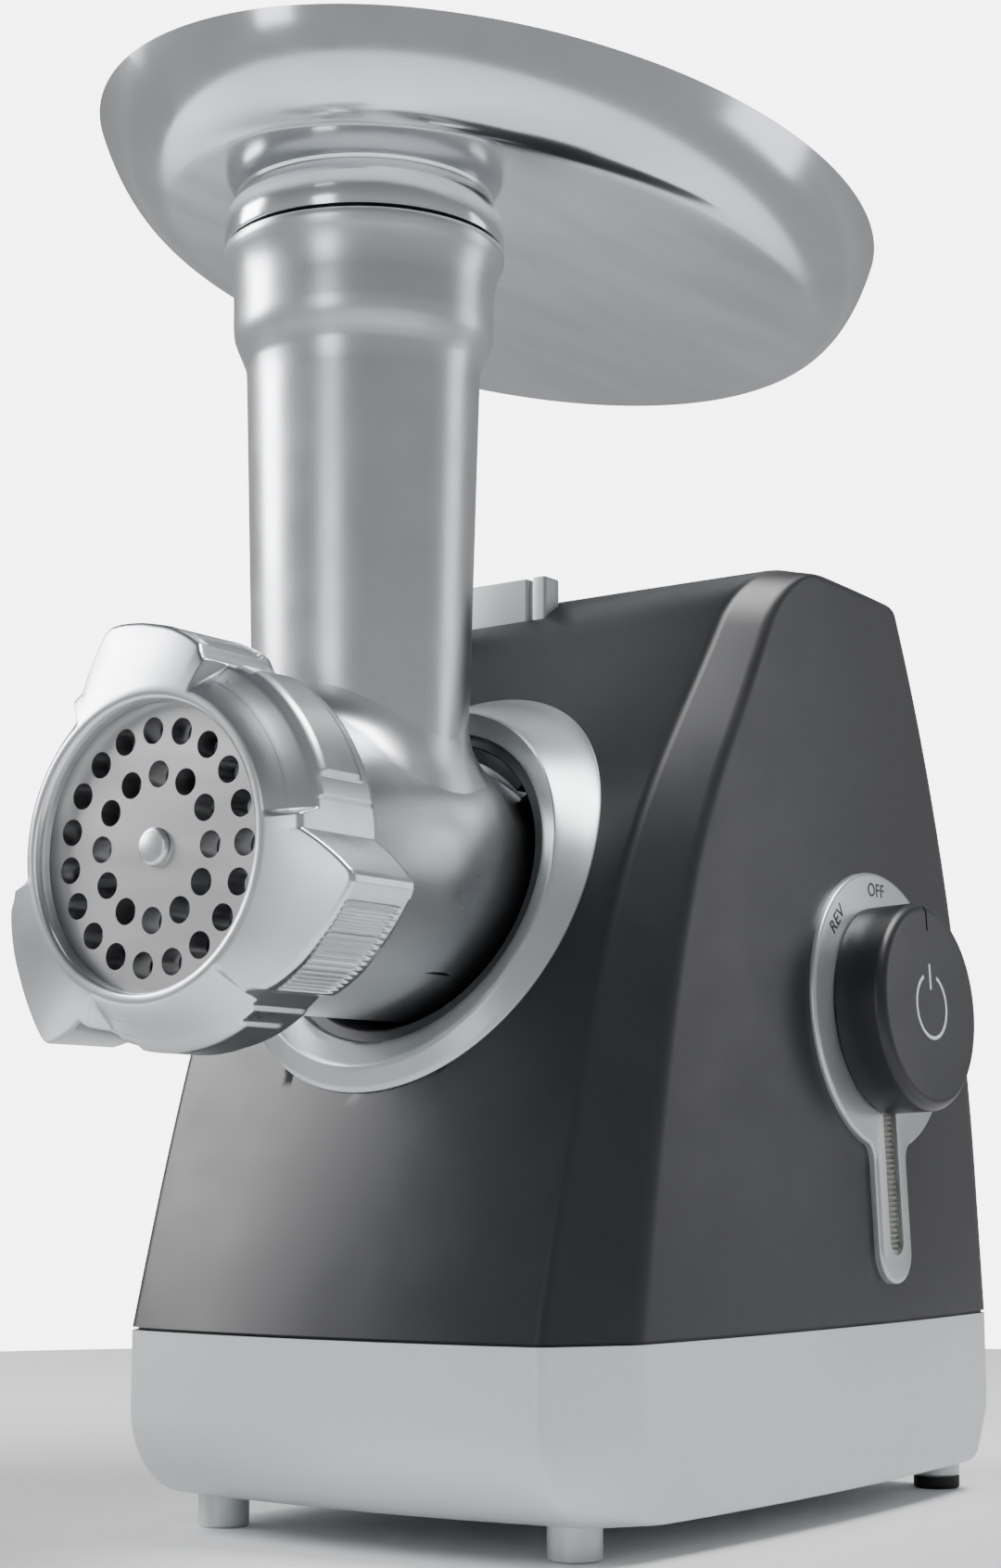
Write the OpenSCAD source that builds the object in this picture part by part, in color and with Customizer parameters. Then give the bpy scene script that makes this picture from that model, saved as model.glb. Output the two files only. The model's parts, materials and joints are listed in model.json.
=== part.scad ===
// Electric meat grinder. Millimetres, +Z up, -Y towards the outlet.
// Origin: on the resting plane, at the centre of the four feet.

/* [Housing] */
// Height of the seam between the base pan and the upper housing
seam_z = 44.26; // [38:0.01:50]
// Height of the flat top of the upper housing
top_z = 221.5; // [216:0.5:228]
// Wall thickness of the plastic housings
wall = 2.6; // [2:0.1:3.5]
// Inward lean of each side wall, in degrees
side_lean = 2.5; // [1:0.1:4]
// Half width of the front panel between its two corner strips
panel_half_w = 55.4; // [50:0.1:60]
// Height of the base pan's underside
pan_z = 7.3; // [5:0.1:10]
// Radius of the base pan's front underside
pan_round = 20; // [12:1:24]

/* [Feet] */
// Distance between the left and the right feet
feet_x = 95.68; // [88:0.01:100]
// Distance between the front and the rear feet
feet_y = 163.2; // [150:0.1:168]
// Radius of a foot
foot_r = 5.76; // [5:0.01:7]
// Radius of the pin above a foot, in the pan
foot_pin_r = 4; // [3:0.1:4.5]

/* [Grinding head] */
// Height of the auger axis
auger_z = 142.32; // [138:0.01:146]
// Distance of the feed tube axis in front of the feet centre
tube_y = 94.07; // [90:0.01:98]
// Bore radius of the feed tube
tube_bore_r = 22; // [20:0.1:22.4]
// Height at which the feed tube's bore starts, above the auger's flights
tube_start_z = 172; // [169:0.5:180]
// Front face of the grinding plate, in front of the feet centre
plate_front = 158.83; // [157:0.01:160]
// Radius of the grinding plate
plate_r = 31; // [30:0.1:31.5]
// Thickness of the grinding plate
plate_t = 5; // [4:0.5:6]
// Radius of one hole in the grinding plate
hole_r = 2.75; // [2:0.05:3]
// Bore radius of the barrel round the auger
barrel_bore_r = 26.5; // [25:0.1:27]

/* [Tray] */
// Half length of the tray
tray_a = 127.5; // [110:0.5:135]
// Half width of the tray
tray_b = 81; // [70:0.5:85]
// Distance of the tray's centre behind the feed tube
tray_back = 66; // [50:1:75]
// Turn of the tray about the feed tube, in degrees
tray_turn = 4.8; // [0:0.1:10]
// Height of the tray's rim
tray_rim_z = 316.8; // [308:0.1:322]

/* [Controls] */
// Radius of the switch knob
knob_r = 24.6; // [20:0.1:26]
// Height of the switch knob above its plate
knob_h = 12.5; // [9:0.1:15]
// Radius of the plate behind the knob
knob_plate_r = 33; // [30:0.1:35]

/* [Gears] */
// Teeth of the motor pinion
teeth_a = 8; // [8:1:8]
// Teeth of the first wheel
teeth_b = 56; // [56:1:56]
// Teeth of the first wheel's pinion
teeth_c = 10; // [10:1:10]
// Teeth of the second wheel
teeth_d = 40; // [40:1:40]
// Teeth of the second wheel's pinion
teeth_e = 12; // [12:1:12]
// Teeth of the output wheel
teeth_f = 36; // [36:1:36]

/* [Hidden] */
$fn = 96;
gap = 0.25;                   // parting gap between two covers
module_1 = 0.9;               // gear modules of the three stages
module_2 = 1.25;
module_3 = 1.75;

// Gear and shaft centres as [x, z]
out_c = [0, auger_z];
stage3_d = module_3 * (teeth_e + teeth_f) / 2;
stage2_d = module_2 * (teeth_c + teeth_d) / 2;
stage1_d = module_1 * (teeth_a + teeth_b) / 2;
second_a = -60;
first_a = 214;
motor_a = -80;
second_c = out_c + stage3_d * [cos(second_a), sin(second_a)];
first_c = second_c + stage2_d * [cos(first_a), sin(first_a)];
motor_c = first_c + stage1_d * [cos(motor_a), sin(motor_a)];

// Stations along Y
case_front = -43;             // outer face of the gearbox case
case_back = -15;              // joint between gearbox case and cover
cover_back = -12;
wheel_b_y = [-22, -16.5];
wheel_d_y = [-29.5, -23.5];
wheel_f_y = [-38, -30.5];
pinion_c_y = [-29.8, -22];
pinion_e_y = [-38.3, -29.5];
stator_y = [10, 46];
front_bracket_y = [-10, -7];
rear_bracket_y = [66, 69];
gear_pin_r = 2.5;
rotor_r = 4;
output_r = 6;

// Grinding head
plate_y = -plate_front;
mouth_y = plate_y + plate_t;  // rear face of the plate
ring_front = plate_y - 4;
ring_back = -137;
ring_r = 39;
aperture_r = 29.3;
thread_r = 35;
barrel_r = 31;
pin_r = 3.9;
blade_y = [mouth_y + 0.3, mouth_y + 4.3];
flight_y = [-149.3, -79.5];
flight_r = 25.9;
core_r = 9;
journal_y = [-79.5, -64];
journal_r = 9.95;
square_w = 12;
collar_z = 284.3;
collar_bore_r = 27;
neck_z = collar_z + 0.5;
tray_t = 1.4;
tray_floor_z = 297;
tray_flare = 17;
spigot_r = 26.5;

// Side plate frame: surface point of the knob axis
knob_c = [65.1, 20.3, 116.6];
plate_h = 2.5;
tab_len = 56.3;
tab_r = 7.5;
slot_r = 3.2;
slot_x = [26.5, 54];

// Release button on the front top edge
button_x = [-27, 0.5];
button_y = [-24, -17];
button_top = 223;
button_travel = 4;
stem_x = [-16, -10];
spring_r = 3.6;
spring_z = [191, 200];

// Rear cover window in the rear wall
window_x = 44;
window_z = [58, 196];

// ---------- small helpers ----------

// Cylinder along Y from y0 to y1, centred at c = [x, z]
module ycyl(c, r, y0, y1, r2 = -1) {
    translate([c[0], y0, c[1]]) rotate([-90, 0, 0])
        cylinder(h = y1 - y0, r1 = r, r2 = r2 < 0 ? r : r2);
}

module ytube(c, ro, ri, y0, y1) {
    difference() {
        ycyl(c, ro, y0, y1);
        ycyl(c, ri, y0 - 1, y1 + 1);
    }
}

// Extrusion along Y of a shape drawn in X and Z
module yext(y0, y1) {
    translate([0, y1, 0]) rotate([90, 0, 0]) linear_extrude(y1 - y0) children();
}

// Solid of revolution about the auger axis; the outline is [radius, y]
module yrev(points) {
    translate([0, 0, auger_z]) rotate([-90, 0, 0]) rotate_extrude() polygon(points);
}

module box(x, y, z) {
    translate([x[0], y[0], z[0]]) cube([x[1] - x[0], y[1] - y[0], z[1] - z[0]]);
}

module both() {
    children();
    mirror([1, 0, 0]) children();
}

function arc(cx, cy, r, a0, a1, n) =
    [for (i = [0 : n]) let (a = a0 + (a1 - a0) * i / n) [cx + r * cos(a), cy + r * sin(a)]];

function bezier(a, b, c, d, n) = [for (i = [0 : n]) let (t = i / n, s = 1 - t)
    s * s * s * a + 3 * s * s * t * b + 3 * s * t * t * c + t * t * t * d];

// ---------- housing surfaces ----------

// Front profile as [y, z]: a leaning curve, then the round to the flat top.
// bow is how far the panel stands in front of its corner line at the seam.
knee_z = 203;
knee_slope = 0.7;
knee_a = 35;
function front_profile(bow) = let (
    a = [-104.9 - bow, seam_z],
    d = [-33 - bow / 10, knee_z],
    b = a + 110.8 * [0.259 + bow * 0.006, 1],
    c = d - 47.1 * [knee_slope, 1],
    r = (top_z - knee_z) / (1 - sin(knee_a)),
    cy = d[0] + r * cos(knee_a), cz = top_z - r)
    concat(bezier(a, b, c, d, 14), [for (i = [1 : 6])
        let (t = knee_a + (90 - knee_a) * i / 6) [cy - r * cos(t), cz + r * sin(t)]]);

panel_bow = 2.5;
rear_y = 88;
rear_r = 330;                 // radius of the rear wall's forward curve
rear_z = 78;

// Plan outline of the side and rear walls: bowed sides, round rear corners
side_x = 69.5;                // widest half width, at side_y
side_y = -25;
side_bow = 0.000589;
function side_at(y) = side_x - side_bow * (y - side_y) * (y - side_y);
function plan_outline(d) = let (c = 12, ry = rear_y + 2 - d, rx = side_at(rear_y - c) - d)
    concat([for (y = [-130 : 15 : 65]) [side_at(y) - d, y]],
        arc(rx - c, ry - c, c, 0, 90, 5), arc(-rx + c, ry - c, c, 90, 180, 5),
        [for (y = [65 : -15 : -130]) [d - side_at(y), y]]);

// Corner strip planes: the strip leaves the panel's corner in this plan direction
strip_a = 33.26;
function strip_at(y) = panel_half_w * cos(strip_a) - y * sin(strip_a);
module strip(points, d) {
    rotate([0, 0, -strip_a]) rotate([90, 0, 0]) translate([0, 0, -150])
        linear_extrude(300) polygon(concat([[-200, points[0][1]]],
            [for (p = points) [strip_at(p[0]) - d, p[1]]],
            [[-200, points[len(points) - 1][1]]]));
}

// Plan prism whose walls lean by a about the height z
module leaning(a, z, d) {
    both() intersection() {
        translate([0, 0, z]) rotate([0, -a, 0]) translate([0, 0, -60])
            linear_extrude(260) polygon(plan_outline(d));
        translate([0, -200, -50]) cube([150, 400, 400]);
    }
}

// The upper housing's outer surface, moved inwards by d
module body_solid(d) {
    mid = front_profile(panel_bow);
    side = front_profile(0);
    low = [side[0] - [0, 20]];
    intersection() {
        leaning(side_lean, seam_z, d);
        translate([-100, 0, 0]) rotate([90, 0, 90]) linear_extrude(200) polygon(concat(
            [[rear_y - d, seam_z - 20], [mid[0][0] + d, seam_z - 20]],
            [for (p = mid) [p[0] + d, min(p[1], top_z - d)]],
            [for (i = [10 : -1 : 0]) let (z = rear_z + (top_z - rear_z) * i / 10)
                [rear_y - rear_r + sqrt(rear_r * rear_r - pow(z - rear_z, 2)) - d,
                    min(z, top_z - d)]]));
        strip(concat(low, side, [[80, top_z]]), d);
        mirror([1, 0, 0]) strip(concat(low, side, [[80, top_z]]), d);
    }
}

// The base pan's outer surface, moved inwards by d, up to the height top
module pan_solid(d, top) {
    y0 = -104.9;
    curve = concat(arc(y0 + pan_round, pan_z + pan_round, pan_round - d, 270, 180, 7),
        [[y0 + d, seam_z + 10]]);
    intersection() {
        leaning(0, seam_z, d);
        leaning(-14, 21, d);
        translate([-100, 0, 0]) rotate([90, 0, 90]) linear_extrude(200) polygon(concat(
            [[rear_y - d, seam_z + 10], [rear_y - d, pan_z + d]],
            [for (p = curve) p - [panel_bow, 0]]));
        strip(curve, 0.45 * d);
        mirror([1, 0, 0]) strip(curve, 0.45 * d);
        box([-100, 100], [-130, rear_y - d], [pan_z + d, top]);
    }
}

module feet_places(y) {
    for (x = [-1, 1]) translate([x * feet_x / 2, y * feet_y / 2, 0]) children();
}

screw_xy = [[-50, -56], [50, -56], [-46, 62], [46, 62]];
module screw_places() {
    for (p = screw_xy) translate([p[0], p[1], 0]) children();
}

// Plane of the socket's raised rim, and everything behind it
rim_slope = 0.36;
rim_y = -80.2;
rim_front = 96;
module behind_rim(offset) {
    translate([0, rim_y + offset, auger_z]) rotate([-atan(rim_slope), 0, 0])
        translate([-80, 0, -80]) cube([160, 120, 160]);
}

// Frame on the side wall: +Z out of the wall, +X down along it
module on_side() {
    translate(knob_c) rotate([0, 90 - side_lean, 0]) children();
}

// ---------- housing pieces ----------

module base_pan() {
    color("silver") difference() {
        union() {
            difference() {
                pan_solid(0, seam_z - 0.3);
                pan_solid(wall, seam_z);
            }
            intersection() {
                pan_solid(wall / 2, seam_z - 0.3);
                pan_ribs();
            }
            lip();
        }
        for (end = [-1, 1]) feet_places(end)
            translate([0, 0, -1]) cylinder(h = pan_z + 3, r = foot_pin_r + 0.05);
        screw_places() {
            translate([0, 0, -1]) cylinder(h = 80, r = 2.05);
            translate([0, 0, -1]) cylinder(h = 12.3, r = 4.2);
        }
        for (x = [-28 : 8 : 28]) box([x - 1.5, x + 1.5], [20, 60], [0, 12]);
    }
}

// Locating lip that stands up inside the upper housing
module lip() {
    for (k = [[wall - 0.5, seam_z - 2], [wall + 1.2, seam_z + 2.5]]) difference() {
        pan_solid(k[0], k[1]);
        pan_solid(wall + 3, seam_z + 5);
        box([-100, 100], [-130, 100], [0, seam_z - 5]);
    }
}

// Foot bosses, screw posts and the saddles under motor and gearbox
module pan_ribs() {
    z0 = pan_z;
    difference() {
        union() {
            feet_places(-1) cylinder(h = z0 + 6, r = 9);
            feet_places(1) cylinder(h = z0 + 6, r = 9);
            screw_places() cylinder(h = seam_z - 0.5, r = 6.5);
            for (y = [14, 38]) box([-29.5, 29.5], [y, y + 4], [z0, motor_c[1] - 30]);
            box([-13, 13], [case_front, case_back], [z0, motor_c[1] - 14]);
        }
        ycyl(motor_c, 20, case_front - 1, case_back + 1);
    }
}

module body_shell() {
    color([0.16, 0.16, 0.18]) difference() {
        union() {
            difference() {
                body_solid(0);
                body_solid(wall);
            }
            intersection() {
                body_solid(wall / 2);
                union() {
                    screw_places() translate([0, 0, seam_z + 0.2]) cylinder(h = 30, r = 6);
                    for (p = screw_xy) box([p[0] > 0 ? p[0] : -90, p[0] > 0 ? 90 : p[0]],
                        [p[1] - 2, p[1] + 2], [seam_z + 6, seam_z + 30]);
                    box([-21, -5], [-60, -14], [spring_z[0] - 3, spring_z[0]]);
                }
            }
        }
        translate([0, 0, -60]) box([-100, 100], [-150, 150], [0, seam_z + 60]);
        screw_places() translate([0, 0, 30]) cylinder(h = 36, r = 1.95);
        ycyl(out_c, 46.9, -120, -35);
        rear_window(0);
        on_side() translate([0, 0, -20]) cylinder(h = 30, r = 10);
        on_side() slot_prism(-20, 10, 3.4);
        box(button_x + [-0.4, 0.4], button_y + [-0.4, 0.4], [202.5, 240]);
    }
}

// Window of the rear cover, made larger by -d
module rear_window(d) {
    box([d - window_x, window_x - d], [20, 120], [window_z[0] + d, window_z[1] - d]);
}

module rear_cover() {
    color([0.16, 0.16, 0.18]) difference() {
        union() {
            intersection() {
                difference() {
                    body_solid(0);
                    body_solid(wall);
                }
                rear_window(gap);
            }
            ycyl([0, 72], 9, rear_y - 8, rear_y - 1);
        }
        for (z = [92 : 8 : 180]) box([-32, 32], [20, 120], [z, z + 3]);
        ycyl([0, 72], 6.5, 50, 120);
    }
}

module cord_grommet() {
    color([0.08, 0.08, 0.08]) difference() {
        union() {
            ycyl([0, 72], 6.45, rear_y - 8, rear_y + 0.5);
            ycyl([0, 72], 9, rear_y, rear_y + 1.6);
        }
        ycyl([0, 72], 3.5, 50, 120);
    }
}

module front_feet() {
    color("silver") feet_places(-1) {
        cylinder(h = pan_z - 0.02, r = foot_r);
        translate([0, 0, pan_z - 1]) cylinder(h = 2.98, r = foot_pin_r);
    }
}

module rear_feet() {
    color("silver") feet_places(1) {
        translate([0, 0, 3]) cylinder(h = pan_z - 3.02, r = foot_r - 0.6);
        translate([0, 0, pan_z - 1]) cylinder(h = 2.98, r = foot_pin_r);
    }
}

module foot_pads() {
    color([0.08, 0.08, 0.08]) feet_places(1) cylinder(h = 3, r = foot_r);
}

module base_screws() {
    color("gray") screw_places() {
        translate([0, 0, 11.3]) cylinder(h = 52, r = 1.95);
        difference() {
            translate([0, 0, 8.3]) cylinder(h = 3, r = 3.9);
            translate([0, 0, 7]) cylinder(h = 3, r = 2, $fn = 6);
        }
    }
}

// ---------- socket ----------

module socket_bezel() {
    color("silver") difference() {
        union() {
            intersection() {
                ycyl(out_c, 46.6, -120, -46);
                body_solid(-0.8);
            }
            intersection() {
                ycyl(out_c, 46.6, -120, -46);
                behind_rim(0);
                yrev([[0, -120], [41.2, -rim_front], [46.6, 5.4 - rim_front], [46.6, -46], [0, -46]]);
            }
            rim_core();
        }
        ycyl(out_c, 35.7, -130, -30);
        intersection() {
            ycyl(out_c, 60, -130, -46);
            body_solid(wall);
            difference() {
                ycyl(out_c, 60, -130, -30);
                ycyl(out_c, 41.2, -131, -29);
            }
        }
    }
}
// The raised rim: cut by the rim plane in front
module rim_core() {
    intersection() {
        ycyl(out_c, 41.2, -120, -46);
        behind_rim(0);
    }
}

module socket_cup() {
    lug_a = 34;
    color([0.2, 0.2, 0.22]) {
        difference() {
            intersection() {
                ycyl(out_c, 35.5, -120, case_front);
                behind_rim(2.5);
            }
            ycyl(out_c, 33, -130, case_front - 3);
            ycyl(out_c, 15, -130, 0);
            box([-5, 5], [-62, -50], [auger_z + 20, auger_z + 40]);
        }
        for (a = [0, 120, 240]) intersection() {
            ytube(out_c, 33.2, 30.2, -66, -62);
            translate([0, -70, auger_z]) rotate([0, -a - 60, 0])
                wedge(40, lug_a, 20);
        }
    }
}

// Sector of radius r and angle a about Y, h long, centred on +X
module wedge(r, a, h) {
    rotate([-90, 0, 0]) linear_extrude(h) polygon([[0, 0],
        [r * cos(a / 2), -r * sin(a / 2)], [r * 1.2, 0], [r * cos(a / 2), r * sin(a / 2)]]);
}

// ---------- controls ----------

module release_button() {
    color("silver") difference() {
        union() {
            box(button_x, button_y, [203, button_top]);
            box(stem_x, [-24, -20], [spring_z[1], 204]);
            box(stem_x + [-3, 3], [-26, -18], [spring_z[1], spring_z[1] + 3]);
        }
        box([button_x[1] - 5, button_x[1] - 3.8], [-30, button_y[0] + 0.6], [190, 230]);
    }
}

// The coil stands in as a tube of the coil's outline
module release_spring() {
    color("gray") translate([(stem_x[0] + stem_x[1]) / 2, -22, spring_z[0]])
        difference() {
            cylinder(h = spring_z[1] - spring_z[0], r = spring_r);
            translate([0, 0, -1]) cylinder(h = 20, r = spring_r - 0.8);
        }
}

module slot_prism(z0, z1, r) {
    translate([0, 0, z0]) linear_extrude(z1 - z0) {
        translate([slot_x[0], -r]) square([slot_x[1] - slot_x[0], 2 * r]);
        translate([slot_x[1], 0]) circle(r = r);
    }
}

module knob_bezel() {
    color("silver") on_side() difference() {
        union() {
            translate([0, 0, -1]) cylinder(h = plate_h + 1, r = knob_plate_r);
            translate([0, 0, -1]) linear_extrude(plate_h + 1) {
                translate([0, -tab_r]) square([tab_len, 2 * tab_r]);
                translate([tab_len, 0]) circle(r = tab_r);
            }
        }
        translate([0, 0, -5]) cylinder(h = 20, r = 9);
        slot_prism(-5, 10, slot_r);
        inner_wall();
    }
}

// The wall's own material, so that the plate's underside follows the bowed wall
module inner_wall() {
    multiply_frame() body_solid(0);
}

// Takes a housing surface back into the side wall's frame
module multiply_frame() {
    rotate([0, side_lean - 90, 0]) translate(-knob_c) children();
}

module light_window() {
    color([0.8, 0.8, 0.75]) on_side() slot_prism(-4, plate_h - 0.6, slot_r);
}

module control_knob() {
    z0 = plate_h + 0.3;
    color([0.15, 0.15, 0.17]) on_side() difference() {
        translate([0, 0, z0]) rotate_extrude() polygon([[0, 0], [knob_r, 0],
            [knob_r, knob_h - 2.2], [knob_r - 0.7, knob_h - 0.7], [knob_r - 2.2, knob_h],
            [0, knob_h]]);
        translate([0, 0, z0 - 1]) difference() {
            cylinder(h = knob_h - 1.5, r = knob_r - 2.4);
            cylinder(h = knob_h, r = 6);
        }
        translate([0, 0, z0 - 1]) cylinder(h = 9, r = 3);
        translate([-knob_r + 2, -0.4, z0 + knob_h - 0.5]) cube([7, 0.8, 2]);
    }
}

module switch_spindle() {
    color("gray") on_side() translate([0, 0, -18]) cylinder(h = 18 + plate_h + 8.3, r = 3);
}

module rotary_switch() {
    color([0.1, 0.1, 0.1]) on_side() difference() {
        translate([-13, -13, -21]) cube([26, 26, 17.6]);
        translate([0, 0, -19]) cylinder(h = 30, r = 3.05);
        for (s = [-1, 1]) translate([s * 7 - 1, -10, -22]) cube([2, 20, 2]);
    }
}

module circuit_board() {
    color("darkgreen") on_side() {
        translate([24, -12, -11]) cube([38, 24, 1.6]);
        for (x = [28 : 8 : 52]) translate([x, -1.5, -9.4]) cube([3, 3, 1.4]);
    }
}

// ---------- gears ----------

// Involute gear outline with stub teeth. phase is the angle of a tooth's centre line.
pressure_a = 20;
function involute(rb, r) = let (t = sqrt(max(r * r / rb / rb - 1, 0)))
    t * 180 / PI - atan(t);
function tooth_half(m, n, r) = let (rp = m * n / 2, rb = rp * cos(pressure_a))
    (90 - 4) / n + involute(rb, rp) - involute(rb, max(r, rb));
module gear(m, n, phase, thin = 0) {
    rp = m * n / 2;
    rb = rp * cos(pressure_a);
    ro = rp + 0.85 * m;
    rr = rp - 1.15 * m;
    rs = [rr, max(rr, rb), (max(rr, rb) + rp) / 2, rp, (rp + ro) / 2, ro];
    half = [for (r = rs) max(tooth_half(m, n, r) - thin, 0.4)];
    polygon([for (i = [0 : n - 1]) let (a = phase + i * 360 / n) each concat(
        [for (k = [0 : 5]) rs[k] * [cos(a - half[k]), sin(a - half[k])]],
        [for (k = [5 : -1 : 0]) rs[k] * [cos(a + half[k]), sin(a + half[k])]])]);
}

// A toothed wheel about an axis along Y; angles run from +X towards +Z
module wheel(c, m, n, phase, y) {
    translate([c[0], y[1], c[1]]) rotate([90, 0, 0]) linear_extrude(y[1] - y[0])
        gear(m, n, phase);
}

// Phases that put a tooth of one gear in the gap of the other along their centre line
f_phase = second_a;
e_phase = second_a + 180 + 180 / teeth_e;
d_phase = first_a;
c_phase = first_a + 180 + 180 / teeth_c;
b_phase = motor_a;
a_phase = motor_a + 180 + 180 / teeth_a;

module motor_pinion() {
    color("gray") wheel(motor_c, module_1, teeth_a, a_phase, [-24, -10]);
}

module first_gear() {
    color("ivory") difference() {
        union() {
            wheel(first_c, module_1, teeth_b, b_phase, wheel_b_y);
            wheel(first_c, module_2, teeth_c, c_phase, pinion_c_y);
        }
        ycyl(first_c, gear_pin_r + 0.05, -60, 10);
    }
}

module second_gear() {
    color("ivory") difference() {
        union() {
            wheel(second_c, module_2, teeth_d, d_phase, wheel_d_y);
            wheel(second_c, module_3, teeth_e, e_phase, pinion_e_y);
        }
        ycyl(second_c, gear_pin_r + 0.05, -60, 10);
    }
}

module output_gear() {
    color("ivory") difference() {
        union() {
            wheel(out_c, module_3, teeth_f, f_phase, wheel_f_y);
            ycyl(out_c, 13, -30.6, -22);
        }
        ycyl(out_c, output_r, -60, 10);
    }
}

module output_shaft() {
    color("gray") ycyl(out_c, output_r, -54, -8);
}

module shaft_bushes() {
    color("goldenrod") {
        ytube(out_c, 10, output_r + 0.05, -46, -38.5);
        ytube(out_c, 10, output_r + 0.05, -21.5, -12);
    }
}

module gear_pins() {
    color("gray") {
        ycyl(first_c, gear_pin_r, -41, -12.8);
        ycyl(second_c, gear_pin_r, -41, -12.8);
    }
}

lug_at = [out_c + 41 * [cos(150), sin(150)], out_c + 41 * [cos(30), sin(30)],
    second_c + 35 * [cos(-12), sin(-12)], first_c + 34 * [cos(190), sin(190)]];

module case_outline(d) {
    translate(out_c) circle(r = 38 - d);
    translate(second_c) circle(r = 31 - d);
    translate(first_c) circle(r = 31 - d);
    translate(motor_c) circle(r = 20 - d);
}

module lugs() {
    for (p = lug_at) translate(p) circle(r = 6);
}

module gearbox_case() {
    color("gray") difference() {
        yext(case_front, case_back) {
            case_outline(0);
            lugs();
        }
        difference() {
            yext(case_front + 4, case_back + 1) case_outline(3);
            ycyl(first_c, 5, case_front, -30.5);
            ycyl(second_c, 5, case_front, -39);
        }
        ycyl(out_c, 10, -60, 0);
        for (c = [first_c, second_c]) ycyl(c, gear_pin_r, -41, 0);
        for (p = lug_at) ycyl(p, 2, -36, 0);
    }
}

module gearbox_cover() {
    color("gray") difference() {
        union() {
            yext(case_back, cover_back) {
                case_outline(0);
                lugs();
            }
            ycyl(out_c, 13, -21.5, case_back);
        }
        ycyl(out_c, 10, -60, 0);
        ycyl(motor_c, 7, -60, 0);
        for (c = [first_c, second_c]) ycyl(c, gear_pin_r, -60, -12.8);
        for (p = lug_at) ycyl(p, 2.05, -60, 0);
    }
}

module gearbox_screws() {
    color("silver") for (p = lug_at) difference() {
        union() {
            ycyl(p, 2, -35, -12);
            ycyl(p, 3.6, -12, -9.6);
        }
        yext(-10.6, -9) translate(p) square([5, 0.9], center = true);
    }
}

// ---------- motor ----------

stator_w = 60;
pole_bore_r = 19.8;
module motor_stator() {
    color("gray") difference() {
        yext(stator_y[0], stator_y[1]) translate(motor_c) difference() {
            square(stator_w, center = true);
            circle(r = pole_bore_r);
            for (s = [-1, 1]) coil_slot(s, 0);
        }
        for (x = [-25, 25], z = [-25, 25])
            ycyl(motor_c + [x, z], 2.5, 0, 60);
    }
}

// Cross section of one field coil side: a sector between two radii
module coil_slot(s, d) {
    for (a = [0, 180]) rotate(a + s * 45) intersection() {
        difference() {
            circle(r = 27 - d);
            circle(r = pole_bore_r + 0.7 + d);
        }
        polygon([[0, 0], [40 * cos(17), -40 * sin(17)], [50, 0], [40 * cos(17), 40 * sin(17)]]);
    }
}

module field_windings() {
    color("orangered") {
        yext(stator_y[0] - 5, stator_y[1] + 5) translate(motor_c)
            for (s = [-1, 1]) coil_slot(s, 0.15);
        for (y = [stator_y[0] - 5, stator_y[1] + 1])
            yext(y, y + 4) translate(motor_c) for (a = [90, 270]) rotate(a) difference() {
                intersection() {
                    circle(r = 26.8);
                    polygon([[0, 0], [60 * cos(44), -60 * sin(44)], [90, 0],
                        [60 * cos(44), 60 * sin(44)]]);
                }
                circle(r = pole_bore_r + 0.9);
            }
    }
}

module bracket(y, legs_y) {
    difference() {
        union() {
            yext(y[0], y[1]) translate(motor_c) {
                difference() {
                    square(stator_w, center = true);
                    circle(r = 27.5);
                }
                for (a = [0, 90]) rotate(a) square([58, 12], center = true);
                circle(r = 12);
            }
            for (x = [-25, 25], z = [-25, 25])
                ycyl(motor_c + [x, z], 2.5, legs_y[0], legs_y[1]);
        }
        ycyl(motor_c, 9, y[0] - 5, y[1] + 5);
    }
}

module front_bracket() {
    color("silver") bracket(front_bracket_y, [front_bracket_y[0], stator_y[0] + 6]);
}

module rear_bracket() {
    color("silver") bracket(rear_bracket_y, [stator_y[1] - 6, rear_bracket_y[1]]);
}

module motor_bearings() {
    color("goldenrod") for (y = [front_bracket_y, rear_bracket_y])
        ytube(motor_c, 9, rotor_r + 0.05, y[0], y[1]);
}

module rotor_shaft() {
    color("gray") ycyl(motor_c, rotor_r, -10, 74);
}

module armature() {
    color([0.45, 0.35, 0.3]) difference() {
        union() {
            yext(stator_y[0], stator_y[1]) translate(motor_c) difference() {
                circle(r = 19);
                for (i = [0 : 11]) rotate(i * 30) translate([17, -1]) square([4, 2]);
            }
            ycyl(motor_c, 15, stator_y[0] - 5, stator_y[1] + 5);
        }
        ycyl(motor_c, rotor_r, -20, 80);
    }
}

module commutator() {
    color("peru") difference() {
        ycyl(motor_c, 10, 51.5, 64);
        ycyl(motor_c, rotor_r, 40, 80);
        for (i = [0 : 11]) translate([motor_c[0], 52, motor_c[1]]) rotate([0, i * 30, 0])
            translate([9.2, 0, -0.3]) cube([3, 14, 0.6]);
    }
}

module cooling_fan() {
    color([0.1, 0.1, 0.1]) difference() {
        union() {
            ycyl(motor_c, 8, -5, 3);
            ycyl(motor_c, 26, 1.5, 3);
            for (i = [0 : 10]) translate([motor_c[0], -4, motor_c[1]]) rotate([0, i * 360 / 11, 0])
                translate([6, 0, -0.7]) cube([20, 6, 1.4]);
        }
        ycyl(motor_c, rotor_r, -20, 80);
    }
}

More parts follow.
